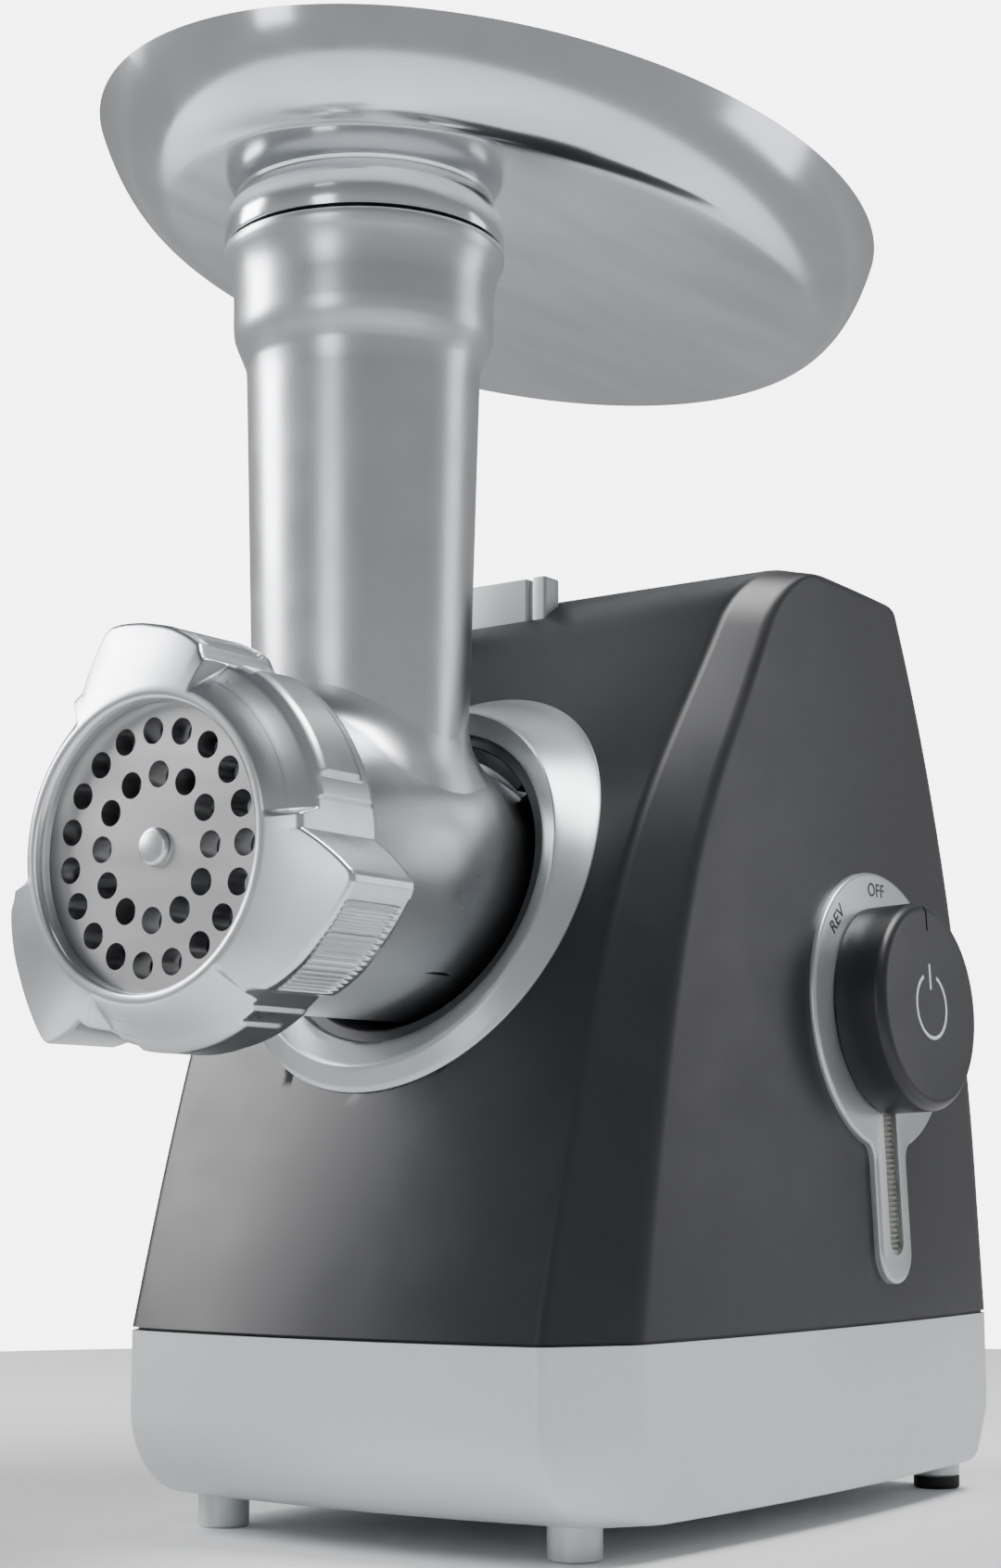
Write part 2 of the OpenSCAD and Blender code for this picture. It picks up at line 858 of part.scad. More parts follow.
module brush_holders() {
    color("peru") for (s = [-1, 1]) difference() {
        translate([motor_c[0] + s * 19, 58, motor_c[1]]) cube([14, 9, 9], center = true);
        translate([motor_c[0] + s * 19, 58, motor_c[1]]) cube([20, 6, 6], center = true);
    }
}

module carbon_brushes() {
    color([0.2, 0.2, 0.2]) for (s = [-1, 1])
        translate([motor_c[0] + s * 17.6, 58, motor_c[1]]) cube([14.6, 5.9, 5.9], center = true);
}

// ---------- drive and grinding head ----------

module drive_coupling() {
    color("dimgray") difference() {
        ycyl(out_c, 12, -63.7, -46.3);
        translate([-square_w / 2, -70, auger_z - square_w / 2]) cube([square_w, 16, square_w]);
        ycyl(out_c, output_r, -54, -40);
    }
}

flight_turns = 3.1;
module auger() {
    color("silver") {
        difference() {
            union() {
                ycyl(out_c, core_r, flight_y[0] + 1, flight_y[1]);
                translate([0, flight_y[0], auger_z]) rotate([-90, 0, 0])
                    linear_extrude(flight_y[1] - flight_y[0], twist = -flight_turns * 360,
                        slices = 56, $fn = 20) flight_section();
            }
            ycyl(out_c, journal_r - 2, flight_y[1] - 2, 0);
        }
        ycyl(out_c, journal_r, flight_y[1] - 2, journal_y[1]);
        translate([-square_w / 2, journal_y[1], auger_z - square_w / 2])
            cube([square_w, 9, square_w]);
        ycyl(out_c, pin_r, plate_y - 0.6, blade_y[0]);
        translate([-5.5, blade_y[0], auger_z - 5.5]) cube([11, flight_y[0] + 1 - blade_y[0], 11]);
    }
}

// One flight in section: wide at the core, narrow at the rim
module flight_section() {
    polygon(concat(arc(0, 0, core_r - 1, -62, 62, 4), arc(0, 0, flight_r, 30, -30, 8)));
}

module auger_bush() {
    color("white") ytube(out_c, 13, journal_r + 0.05, -76, -64);
}

module cutting_blade() {
    color("silver") difference() {
        union() {
            ycyl(out_c, 10.5, blade_y[0], blade_y[1]);
            for (a = [0, 90, 180, 270]) translate([0, blade_y[0], auger_z]) rotate([0, a, 0])
                translate([0, 0, -5]) cube([24.5, 4, 8.5]);
        }
        translate([-5.5, blade_y[0] - 1, auger_z - 5.5]) cube([11, 8, 11]);
    }
}

// Outside of the barrel, thread and tapered rear end as [radius, y]
barrel_outline = [[0, plate_y + 2], [thread_r - 1, plate_y + 2], [thread_r, plate_y + 3],
    [thread_r, ring_back + 0.5], [barrel_r, ring_back + 2], [barrel_r, -74], [25.5, -50.5],
    [0, -50.5]];

module head_housing() {
    color("silver") difference() {
        union() {
            yrev(barrel_outline);
            translate([0, -tube_y, auger_z]) cylinder(h = 182 - auger_z, r = 24);
            translate([0, -tube_y, 182]) cylinder(h = 257 - 182, r1 = 24, r2 = 26.2);
            translate([0, -tube_y, 0]) rotate_extrude() polygon([[0, 256], [26.2, 256],
                [26.4, 257.4], [28.8, 262.5], [29.4, 264], [29.5, 275], [30.2, 278],
                [31.4, 281], [31.8, collar_z - 0.8], [31.2, collar_z], [0, collar_z]]);
            head_lugs();
        }
        ycyl(out_c, barrel_bore_r, -148.6, -77);
        ycyl(out_c, plate_r + 0.05, plate_y - 5, mouth_y);
        ycyl(out_c, barrel_bore_r + 2, mouth_y - 1, -148.6);
        ycyl(out_c, 13, -80, -60);
        ycyl(out_c, 12.8, -66.5, -40);
        translate([0, -tube_y, auger_z]) cylinder(h = tube_start_z - auger_z, r = tube_bore_r + 0.4);
        translate([0, -tube_y, tube_start_z - 0.1]) cylinder(h = 120, r = tube_bore_r);
        translate([0, -tube_y, 257.5]) cylinder(h = 5, r1 = tube_bore_r, r2 = collar_bore_r);
        translate([0, -tube_y, 262.49]) cylinder(h = 40, r = collar_bore_r);
    }
    color("silver") translate([0, plate_y + 2.5, auger_z - plate_r - 0.4]) rotate([-90, 0, 0])
        cylinder(h = plate_t - 2.5, r = 1.9);
}

// Three bayonet lugs that turn behind the socket's own lugs
module head_lugs() {
    for (a = [0, 120, 240]) intersection() {
        ytube(out_c, 32.6, 20, -60.5, -55.5);
        translate([0, -62, auger_z]) rotate([0, -a - 60, 0]) wedge(40, 30, 10);
    }
}

module grinding_plate() {
    outer = [23.65, 19, 92.87];
    inner = [14.68, 12, 87.9];
    color("silver") difference() {
        ycyl(out_c, plate_r, plate_y, mouth_y);
        for (k = [outer, inner], i = [0 : k[1] - 1])
            ycyl(out_c + k[0] * [cos(k[2] - i * 360 / k[1]), sin(k[2] - i * 360 / k[1])],
                hole_r, plate_y - 1, mouth_y + 1);
        ycyl(out_c, pin_r + 0.08, plate_y - 1, mouth_y + 1);
        ycyl(out_c - [0, plate_r + 0.4], 2.1, plate_y - 1, mouth_y + 1);
    }
}

// One lobe of the ring in section, from the neck on one side to the other
function lobe(t) = [for (p = [[38, 6], [39.4, 3], [43, -1.5], [48.4, -7.5], [49.5, -9.5],
    [49.7, -12], [49, -14.5], [44.4, -36], [42.5, -41], [39.4, -47], [38, -52]])
    p[0] * [cos(p[1] + t), sin(p[1] + t)]];

module screw_ring() {
    color("silver") difference() {
        union() {
            yrev([[25, ring_front], [31.3, ring_front], [34, ring_front + 1.2],
                [38, ring_front + 3.4], [ring_r, ring_front + 5.5], [ring_r, ring_back], [25, ring_back]]);
            intersection() {
                yext(ring_front, ring_back) translate(out_c)
                    for (t = [0, 120, 240]) polygon(lobe(t));
                yrev([[20, ring_front], [31.3, ring_front], [51, ring_front + 6.9],
                    [51, ring_back + 1.5], [49.5, ring_back], [20, ring_back]]);
            }
        }
        ycyl(out_c, aperture_r, -200, 0);
        ycyl(out_c, thread_r + 0.3, plate_y - 0.3, 0);
    }
}

// ---------- tray ----------

// Ellipse ring of the tray at height z, moved inwards by d, round the tray's centre
ring_points = 64;
function tray_ring(z, d) = [for (i = [0 : ring_points - 1]) let (t = i * 360 / ring_points)
    [(tray_b - d) * cos(t), (tray_a - d) * sin(t), z]];

flare_n = 5;
flare_a = 51;

module lofted(rings) {
    n = ring_points;
    m = len(rings);
    polyhedron(points = [for (r = rings) each r], faces = concat(
        [[for (i = [0 : n - 1]) i]],
        [for (j = [0 : m - 2], i = [0 : n - 1], f = [
            [j * n + i, (j + 1) * n + i, j * n + (i + 1) % n],
            [j * n + (i + 1) % n, (j + 1) * n + i, (j + 1) * n + (i + 1) % n]]) f],
        [[for (i = [n - 1 : -1 : 0]) (m - 1) * n + i]]));
}

// Rising profile of the dish from the floor's edge up to the rim
function dish(k) = let (t = k / flare_n, a = flare_a * t)
    [tray_floor_z + (tray_rim_z - tray_floor_z) * (1 - cos(a)) / (1 - cos(flare_a)),
        tray_flare * (1 - sin(a) / sin(flare_a))];

module at_tray() {
    translate([0, -tube_y, 0]) rotate([0, 0, tray_turn]) translate([0, tray_back, 0]) children();
}

module hopper_tray() {
    outer = [for (k = [0 : flare_n]) let (p = dish(k)) tray_ring(p[0], p[1])];
    inner = [for (k = [0 : flare_n]) let (p = dish(k)) tray_ring(p[0] + tray_t, p[1] + tray_t)];
    color("silver") difference() {
        union() {
            at_tray() difference() {
                lofted(outer);
                lofted(inner);
            }
            translate([0, -tube_y, 0]) rotate_extrude() polygon([[0, 266], [spigot_r - 1, 266],
                [spigot_r, 267], [spigot_r, neck_z], [31, neck_z], [31.6, neck_z + 0.6],
                [31.6, 291], [30.6, 294], [28.8, 297], [28.8, 298], [0, 298]]);
        }
        translate([0, -tube_y, 200]) cylinder(h = 200, r = spigot_r - 1.8);
    }
}

// ---------- selection ----------

base_pan();
body_shell();
rear_cover();
front_feet();
rear_feet();
foot_pads();
base_screws();
socket_bezel();
socket_cup();
release_button();
release_spring();
knob_bezel();
light_window();
control_knob();
switch_spindle();
rotary_switch();
circuit_board();
cord_grommet();
gearbox_case();
gearbox_cover();
gearbox_screws();
gear_pins();
shaft_bushes();
motor_stator();
field_windings();
front_bracket();
rear_bracket();
motor_bearings();
brush_holders();
carbon_brushes();
rotor_shaft();
armature();
commutator();
cooling_fan();
motor_pinion();
first_gear();
second_gear();
output_gear();
output_shaft();
drive_coupling();
auger();
auger_bush();
cutting_blade();
head_housing();
grinding_plate();
screw_ring();
hopper_tray();
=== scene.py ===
import json
import math

import bmesh
import bpy
from mathutils import Matrix, Vector


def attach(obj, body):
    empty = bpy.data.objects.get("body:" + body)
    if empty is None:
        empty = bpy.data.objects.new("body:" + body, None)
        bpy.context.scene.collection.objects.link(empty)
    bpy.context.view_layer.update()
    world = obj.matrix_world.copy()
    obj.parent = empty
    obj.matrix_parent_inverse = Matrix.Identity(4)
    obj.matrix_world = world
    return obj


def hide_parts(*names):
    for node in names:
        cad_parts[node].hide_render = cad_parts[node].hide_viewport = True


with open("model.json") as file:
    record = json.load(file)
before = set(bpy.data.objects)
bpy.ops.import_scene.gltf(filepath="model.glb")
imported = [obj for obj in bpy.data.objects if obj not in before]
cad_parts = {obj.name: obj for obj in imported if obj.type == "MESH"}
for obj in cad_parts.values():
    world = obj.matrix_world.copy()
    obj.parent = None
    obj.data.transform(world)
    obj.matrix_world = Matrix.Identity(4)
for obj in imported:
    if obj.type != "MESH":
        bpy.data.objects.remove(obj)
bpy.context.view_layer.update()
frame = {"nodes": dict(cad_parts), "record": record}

MM = 0.001
NODES = frame["nodes"]

# ---------------------------------------------------------------- camera
CAMERA_AT = (0.35905, -0.53857, 0.07580)
CAMERA_AIM = (-0.5787, 0.8014, 0.1511)
SENSOR = 36.0
LENS = 60.21

camera_data = bpy.data.cameras.new("camera")
camera_data.sensor_width = SENSOR
camera_data.sensor_fit = "AUTO"
camera_data.lens = LENS
camera_data.clip_start = 0.01
camera = bpy.data.objects.new("camera", camera_data)
bpy.context.scene.collection.objects.link(camera)
camera.location = CAMERA_AT
camera.rotation_euler = Vector(CAMERA_AIM).to_track_quat("-Z", "Y").to_euler()
bpy.context.scene.camera = camera


# ---------------------------------------------------------------- materials
def linear(code):
    def one(v):
        return v / 12.92 if v <= 0.04045 else ((v + 0.055) / 1.055) ** 2.4
    return tuple(one(int(code[i:i + 2], 16) / 255) for i in (1, 3, 5)) + (1.0,)


def node_material(name, colour, rough, metallic=0.0, **sockets):
    mat = bpy.data.materials.new(name)
    mat.use_nodes = True
    bsdf = mat.node_tree.nodes["Principled BSDF"]
    bsdf.inputs["Base Color"].default_value = linear(colour)
    bsdf.inputs["Roughness"].default_value = rough
    bsdf.inputs["Metallic"].default_value = metallic
    for key, value in sockets.items():
        bsdf.inputs[key.replace("_", " ")].default_value = value
    return mat


def noise_of(mat, scale, stretch=(1, 1, 1), detail=3.0, rough=0.55):
    nodes, links = mat.node_tree.nodes, mat.node_tree.links
    coord = nodes.new("ShaderNodeTexCoord")
    mapping = nodes.new("ShaderNodeMapping")
    mapping.inputs["Scale"].default_value = stretch
    noise = nodes.new("ShaderNodeTexNoise")
    noise.inputs["Scale"].default_value = scale
    noise.inputs["Detail"].default_value = detail
    noise.inputs["Roughness"].default_value = rough
    links.new(coord.outputs["Object"], mapping.inputs["Vector"])
    links.new(mapping.outputs["Vector"], noise.inputs["Vector"])
    return noise


def ranged(mat, source, low, high):
    nodes, links = mat.node_tree.nodes, mat.node_tree.links
    ramp = nodes.new("ShaderNodeMapRange")
    ramp.inputs["From Min"].default_value = 0.3
    ramp.inputs["From Max"].default_value = 0.7
    ramp.inputs["To Min"].default_value = low
    ramp.inputs["To Max"].default_value = high
    links.new(source.outputs["Fac"], ramp.inputs["Value"])
    return ramp


def add_rough(mat, low, high, scale, stretch=(1, 1, 1)):
    ramp = ranged(mat, noise_of(mat, scale, stretch), low, high)
    bsdf = mat.node_tree.nodes["Principled BSDF"]
    mat.node_tree.links.new(ramp.outputs["Result"], bsdf.inputs["Roughness"])


def add_tint(mat, dark, light, scale, stretch=(1, 1, 1)):
    nodes, links = mat.node_tree.nodes, mat.node_tree.links
    noise = noise_of(mat, scale, stretch, detail=2.0)
    ramp = nodes.new("ShaderNodeValToRGB")
    ramp.color_ramp.elements[0].position = 0.35
    ramp.color_ramp.elements[1].position = 0.65
    ramp.color_ramp.elements[0].color = linear(dark)
    ramp.color_ramp.elements[1].color = linear(light)
    links.new(noise.outputs["Fac"], ramp.inputs["Fac"])
    links.new(ramp.outputs["Color"], nodes["Principled BSDF"].inputs["Base Color"])


def add_bump(mat, layers):
    """layers: (scale, strength, depth in metres, stretch)"""
    nodes, links = mat.node_tree.nodes, mat.node_tree.links
    last = None
    for scale, strength, depth, stretch in layers:
        noise = noise_of(mat, scale, stretch)
        bump = nodes.new("ShaderNodeBump")
        bump.inputs["Strength"].default_value = strength
        bump.inputs["Distance"].default_value = depth
        links.new(noise.outputs["Fac"], bump.inputs["Height"])
        if last is not None:
            links.new(last.outputs["Normal"], bump.inputs["Normal"])
        last = bump
    links.new(last.outputs["Normal"], nodes["Principled BSDF"].inputs["Normal"])


EVEN = (1, 1, 1)


def plastic(name, dark, light, low, high, grain=0.25, metallic=0.0, **sockets):
    mat = node_material(name, dark, low, metallic, **sockets)
    add_tint(mat, dark, light, 14)
    add_rough(mat, low, high, 60)
    add_bump(mat, [(2600, grain, 0.00003, EVEN)])
    return mat


def cast(name, dark, light, low, high, grain=0.25):
    mat = node_material(name, light, low, 1.0)
    add_tint(mat, dark, light, 25)
    add_rough(mat, low, high, 90)
    add_bump(mat, [(1500, grain, 0.00004, EVEN)])
    return mat


def brushed(name, dark, light, low, high, stretch, strength=0.2):
    mat = node_material(name, light, low, 1.0)
    add_tint(mat, dark, light, 30, stretch)
    add_rough(mat, low, high, 120, stretch)
    add_bump(mat, [(260, strength, 0.00003, stretch)])
    return mat


M = {
    "body_plastic": plastic("body_plastic", "#1c1d20", "#202124", 0.34, 0.40, 0.30,
                            Specular_IOR_Level=0.42),
    "pan_plastic": plastic("pan_plastic", "#bfc3c6", "#c6cacc", 0.36, 0.44, 0.20, 0.25),
    "silver_plastic": plastic("silver_plastic", "#b4babc", "#bec3c4", 0.34, 0.42, 0.20, 0.30),
    "dark_plastic": plastic("dark_plastic", "#1b1c1f", "#242529", 0.45, 0.55, 0.30),
    "black_rubber": plastic("black_rubber", "#101010", "#191919", 0.65, 0.80, 0.50),
    "gear_nylon": plastic("gear_nylon", "#ddd8c8", "#e8e3d5", 0.40, 0.50, 0.15),
    "board_green": plastic("board_green", "#1c5530", "#236339", 0.25, 0.35, 0.10),
    "copper_wire": plastic("copper_wire", "#8f4322", "#a9552c", 0.25, 0.35, 0.60),
    "carbon": plastic("carbon", "#1d1d1e", "#2a2a2b", 0.60, 0.75, 0.50),
    "cast_aluminium": cast("cast_aluminium", "#c9cccf", "#d3d5d7", 0.27, 0.33, 0.08),
    "cast_metal": cast("cast_metal", "#83868a", "#94979b", 0.40, 0.50, 0.50),
    "tray_metal": brushed("tray_metal", "#d3d6d9", "#e2e4e6", 0.13, 0.18, (1, 0.15, 1), 0.10),
    "blade_steel": brushed("blade_steel", "#bcbdbe", "#cbcbcb", 0.30, 0.38, (0.2, 1, 1), 0.22),
    "zinc_steel": brushed("zinc_steel", "#a3a5a8", "#b4b6b8", 0.28, 0.38, (1, 0.3, 1)),
    "gear_steel": brushed("gear_steel", "#85878a", "#97999c", 0.30, 0.40, (1, 0.3, 1)),
    "stator_steel": brushed("stator_steel", "#5c5e61", "#707275", 0.40, 0.50, (0.2, 6, 0.2), 0.5),
    "bush_bronze": brushed("bush_bronze", "#9a7440", "#b18850", 0.35, 0.45, (1, 0.3, 1)),
    "brush_brass": brushed("brush_brass", "#b58e40", "#c7a052", 0.30, 0.40, (1, 0.3, 1)),
    "copper_bar": brushed("copper_bar", "#a9663a", "#c07e4e", 0.25, 0.35, (1, 0.3, 1)),
}
M["window_plastic"] = plastic("window_plastic", "#8f8f88", "#b0b0a8", 0.22, 0.32, 0.2,
                              Transmission_Weight=0.35, IOR=1.49)
M["trim_silver"] = plastic("trim_silver", "#b2b6b8", "#babebf", 0.28, 0.34, 0.12, 0.75)
M["marking_grey"] = plastic("marking_grey", "#c9ccce", "#d2d5d6", 0.40, 0.50, 0.1)
M["marking_black"] = plastic("marking_black", "#17181a", "#1f2022", 0.45, 0.55, 0.1)

SLOT = {s["node"]: s["material_slot"] for s in frame["record"]["subparts"]}


def dress(obj, mat):
    obj.data.materials.clear()
    obj.data.materials.append(mat)


def smooth(mesh, angle):
    for p in mesh.polygons:
        p.use_smooth = True
    mesh.set_sharp_from_angle(angle=math.radians(angle))


for node_name, obj in NODES.items():
    dress(obj, M[SLOT[node_name]])
    smooth(obj.data, 28)


# ---------------------------------------------------------------- mesh helpers
def make(name, verts, faces, place=Matrix.Identity(4), angle=35):
    mesh = bpy.data.meshes.new(name)
    mesh.from_pydata([tuple(Vector(v) * MM) for v in verts], [], faces)
    bm = bmesh.new()
    bm.from_mesh(mesh)
    bmesh.ops.remove_doubles(bm, verts=bm.verts, dist=1e-7)
    bmesh.ops.recalc_face_normals(bm, faces=bm.faces)
    bm.to_mesh(mesh)
    bm.free()
    mesh.transform(place)
    smooth(mesh, angle)
    obj = bpy.data.objects.new(name, mesh)
    bpy.context.scene.collection.objects.link(obj)
    return obj


def rings_mesh(rings, closed_tube=False):
    """Quads between equal rings of points, capped, or with the last ring joined to the first."""
    n = len(rings[0])
    verts = [p for r in rings for p in r]
    m = len(rings)
    faces = []
    for j in range(m if closed_tube else m - 1):
        a, b = j * n, ((j + 1) % m) * n
        faces += [(a + i, a + (i + 1) % n, b + (i + 1) % n, b + i) for i in range(n)]
    if not closed_tube:
        faces.append(tuple(range(n))[::-1])
        faces.append(tuple(range((m - 1) * n, m * n)))
    return verts, faces


def revolve(profile, n=144):
    """Closed section of (radius, height) about local Z, or an open one that starts and ends on the axis."""
    solid = profile[0][0] == 0
    body = [p for p in profile if p[0] > 0]
    rings = [[(r * math.cos(t), r * math.sin(t), h)
              for t in (2 * math.pi * i / n for i in range(n))] for r, h in body]
    return rings_mesh(rings, closed_tube=not solid)


def lathe(name, profile, place, n=144, angle=35):
    verts, faces = revolve(profile, n)
    return make(name, verts, faces, place, angle)


def moved(x, y, z):
    return Matrix.Translation(Vector((x, y, z)) * MM)


def along_y(x, z):
    """Local +Z becomes world +Y, with the axis through (x, z)."""
    return moved(x, 0, z) @ Matrix.Rotation(-math.pi / 2, 4, "X")


def prism(outline, z0, z1, bevel=0.0, steps=4):
    """Outline of (x, y) between two heights, its top edge rounded by bevel."""
    rings = [[(x, y, z0) for x, y in outline]]
    if bevel:
        for k in range(steps + 1):
            a = math.pi / 2 * k / steps
            inset = bevel * (1 - math.cos(a))
            rings.append([(x, y, z1 - bevel + bevel * math.sin(a))
                          for x, y in offset(outline, inset)])
    else:
        rings.append([(x, y, z1) for x, y in outline])
    return rings_mesh(rings)


def offset(outline, d):
    """A counter-clockwise outline moved inwards by d."""
    out = []
    n = len(outline)
    for i in range(n):
        x0, y0 = outline[i - 1]
        x1, y1 = outline[(i + 1) % n]
        tx, ty = x1 - x0, y1 - y0
        s = math.hypot(tx, ty) or 1.0
        out.append((outline[i][0] - d * ty / s, outline[i][1] + d * tx / s))
    return out


def joined(name, parts, angle=35, place=Matrix.Identity(4)):
    verts, faces = [], []
    for v, f in parts:
        k = len(verts)
        verts += list(v)
        faces += [tuple(i + k for i in face) for face in f]
    return make(name, verts, faces, place, angle)


def apply_modifiers(obj, angle=35):
    bpy.context.view_layer.update()
    deps = bpy.context.evaluated_depsgraph_get()
    mesh = bpy.data.meshes.new_from_object(obj.evaluated_get(deps))
    obj.modifiers.clear()
    obj.data = mesh
    smooth(mesh, angle)


def boolean(obj, tool, operation="DIFFERENCE", angle=35):
    mod = obj.modifiers.new("cut", "BOOLEAN")
    mod.operation = operation
    mod.solver = "EXACT"
    mod.object = tool
    apply_modifiers(obj, angle)
    bpy.data.objects.remove(tool)


def soften(obj, width, angle=35, segments=4):
    mod = obj.modifiers.new("soft", "BEVEL")
    mod.width = width * MM
    mod.segments = segments
    mod.limit_method = "ANGLE"
    mod.angle_limit = math.radians(angle)
    apply_modifiers(obj, 40)


def box_tool(x, y, z):
    verts = [(a, b, c) for c in z for b in y for a in x]
    faces = [(0, 2, 3, 1), (4, 5, 7, 6), (0, 1, 5, 4), (2, 6, 7, 3), (0, 4, 6, 2), (1, 3, 7, 5)]
    return make("tool", verts, faces)


def finish_piece(obj, body, slot, *nodes, material=None):
    dress(obj, M[material or slot])
    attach(obj, body)
    if nodes:
        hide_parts(*nodes)


# ---------------------------------------------------------------- housing surfaces
SEAM_Z = 44.26
TOP_Z = 221.5
KNEE_Z = 203.0
KNEE_A = 35.0
PANEL_W = 55.4
BOW = 5
SEAM_Y, KNEE_Y = -104.9, -33.0
SEAM_HANDLE, KNEE_HANDLE = 110.8, 47.1
SEAM_SLOPE, KNEE_SLOPE = 0.259, 0.7
SIDE_X, SIDE_Y, SIDE_CURVE = 69.5, -25, 0.000589
STRIP_X, STRIP_Y = 0.5484, 0.8362
SIDE_LEAN = math.tan(math.radians(2.5))
REAR_Y = 88.0
REAR_BEND_Z = 78.0
REAR_R = 330.0
AUGER_Z = 142.32
TUBE_Y = -94.07


def cubic(a, b, c, d, t):
    s = 1 - t
    return s * s * s * a + 3 * s * s * t * b + 3 * s * t * t * c + t * t * t * d


def front_line(z, bow):
    """Y of the front panel at height z, for a profile standing bow forward at the seam."""
    end_y = KNEE_Y - bow / 10
    if z <= KNEE_Z:
        z0, z1, z2 = SEAM_Z, SEAM_Z + SEAM_HANDLE, KNEE_Z - KNEE_HANDLE
        low, high = 0.0, 1.0
        for _ in range(30):
            mid = (low + high) / 2
            if cubic(z0, z1, z2, KNEE_Z, mid) < z:
                low = mid
            else:
                high = mid
        y0 = SEAM_Y - bow
        y1 = y0 + SEAM_HANDLE * (SEAM_SLOPE + 0.006 * bow)
        return cubic(y0, y1, end_y - KNEE_HANDLE * KNEE_SLOPE, end_y, low)
    r = (TOP_Z - KNEE_Z) / (1 - math.sin(math.radians(KNEE_A)))
    cy = end_y + r * math.cos(math.radians(KNEE_A))
    cz = TOP_Z - r
    return cy - math.sqrt(max(r * r - (z - cz) ** 2, 0))


def front_y(x, z):
    corner, centre = front_line(z, 0), front_line(z, BOW)
    return corner - (corner - centre) * max(1 - (x / PANEL_W) ** 2, 0)


def side_x(y):
    return SIDE_X - SIDE_CURVE * (y - SIDE_Y) ** 2


def rear_line(z):
    if z <= REAR_BEND_Z:
        return REAR_Y
    return REAR_Y - REAR_R + math.sqrt(REAR_R ** 2 - (z - REAR_BEND_Z) ** 2)


def rounded(points, k, r, steps):
    """Points of a quadratic round that stands for the corner points[k]."""
    p = Vector(points[k])
    a = (Vector(points[k - 1]) - p).normalized() * r
    b = (Vector(points[k + 1]) - p).normalized() * r
    out = []
    for i in range(steps + 1):
        t = i / steps
        out.append(tuple(p + a * (1 - t) ** 2 + b * t ** 2))
    return out


PANEL_STEPS = 14
CORNER_ROUNDS = (1.8, 2.6)
INNER_ROUNDS = (3.0, 3.0)
REAR_ROUND = 11.0


def half_plan(corner_y, centre_y, lean, rear, inset_x=0.0, rounds=CORNER_ROUNDS):
    """Right half of a level outline, from the front's middle round to the rear's."""
    pts = []
    for i in range(PANEL_STEPS + 1):
        x = PANEL_W * i / PANEL_STEPS
        pts.append((x, corner_y - (corner_y - centre_y) * (1 - (x / PANEL_W) ** 2)))
    s = 12.0
    for _ in range(12):
        y = corner_y + STRIP_Y * s
        s = (side_x(y) - lean - inset_x - PANEL_W) / STRIP_X
    b = (PANEL_W + STRIP_X * s, corner_y + STRIP_Y * s)
    y_end = rear - REAR_ROUND
    sides = [(side_x(y) - lean - inset_x, y)
             for y in (b[1] + (y_end - b[1]) * i / 16 for i in range(1, 17))]
    out = pts[:-1]
    out += rounded([pts[-2], pts[-1], b], 1, rounds[0], 6)
    mid = Vector(pts[-1]).lerp(Vector(b), 0.5)
    out += [tuple(mid)]
    out += rounded([tuple(mid), b, sides[0]], 1, rounds[1], 6)
    out += sides[:-1]
    cx = sides[-1][0] - REAR_ROUND
    out += [(cx + REAR_ROUND * math.cos(t), y_end + REAR_ROUND * math.sin(t))
            for t in (math.pi / 2 * i / 8 for i in range(9))]
    out += [(cx * (1 - i / 6), rear) for i in range(1, 7)]
    return out


def whole_plan(half):
    """Counter-clockwise outline: the right half, then its mirror image."""
    return half + [(-x, y) for x, y in half[-2:0:-1]]


TOP_ROUND = 2.6


def body_levels():
    zs = [SEAM_Z + 0.35] + [SEAM_Z + 4 + 4 * i for i in range(39)]
    zs = [z for z in zs if z < KNEE_Z - 2] + [KNEE_Z]
    r = (TOP_Z - KNEE_Z) / (1 - math.sin(math.radians(KNEE_A)))
    for i in range(1, 15):
        t = math.radians(KNEE_A + (90 - KNEE_A) * i / 14)
        zs.append(TOP_Z - r + r * math.sin(t))
    for k in range(1, 6):
        zs.append(TOP_Z - TOP_ROUND + TOP_ROUND * math.sin(math.pi / 2 * k / 6))
    return sorted(set(round(z, 4) for z in zs))


def body_ring(z, d):
    """Outline of the upper housing at z, moved in by d; side and rear round over to the top."""
    zz = min(z + (d if d else 0), TOP_Z)
    half = half_plan(front_line(zz, 0), front_line(zz, BOW), SIDE_LEAN * (zz - SEAM_Z),
                     rear_line(zz), rounds=INNER_ROUNDS if d else CORNER_ROUNDS)
    ring = whole_plan(half)
    if d:
        ring = offset(ring, d)
    over = z - (TOP_Z - TOP_ROUND)
    if over > 0 and not d:
        inset = TOP_ROUND - math.sqrt(max(TOP_ROUND ** 2 - over ** 2, 0))
        moved_in = offset(ring, inset)
        front = half[PANEL_STEPS][1]
        ring = [tuple(Vector(a).lerp(Vector(b), min(max((a[1] - front + 1) / 6, 0), 1)))
                for a, b in zip(ring, moved_in)]
    return [(x, y, z) for x, y in ring]


WALL = 2.6
WELD = 0.04 * MM


def weighted(obj):
    """Large faces keep their own normals next to narrow rounded edges."""
    bm = bmesh.new()
    bm.from_mesh(obj.data)
    bmesh.ops.remove_doubles(bm, verts=bm.verts, dist=WELD)
    bmesh.ops.dissolve_degenerate(bm, dist=WELD, edges=bm.edges)
    bm.to_mesh(obj.data)
    bm.free()
    mod = obj.modifiers.new("flats", "WEIGHTED_NORMAL")
    mod.keep_sharp = True
    apply_modifiers(obj)


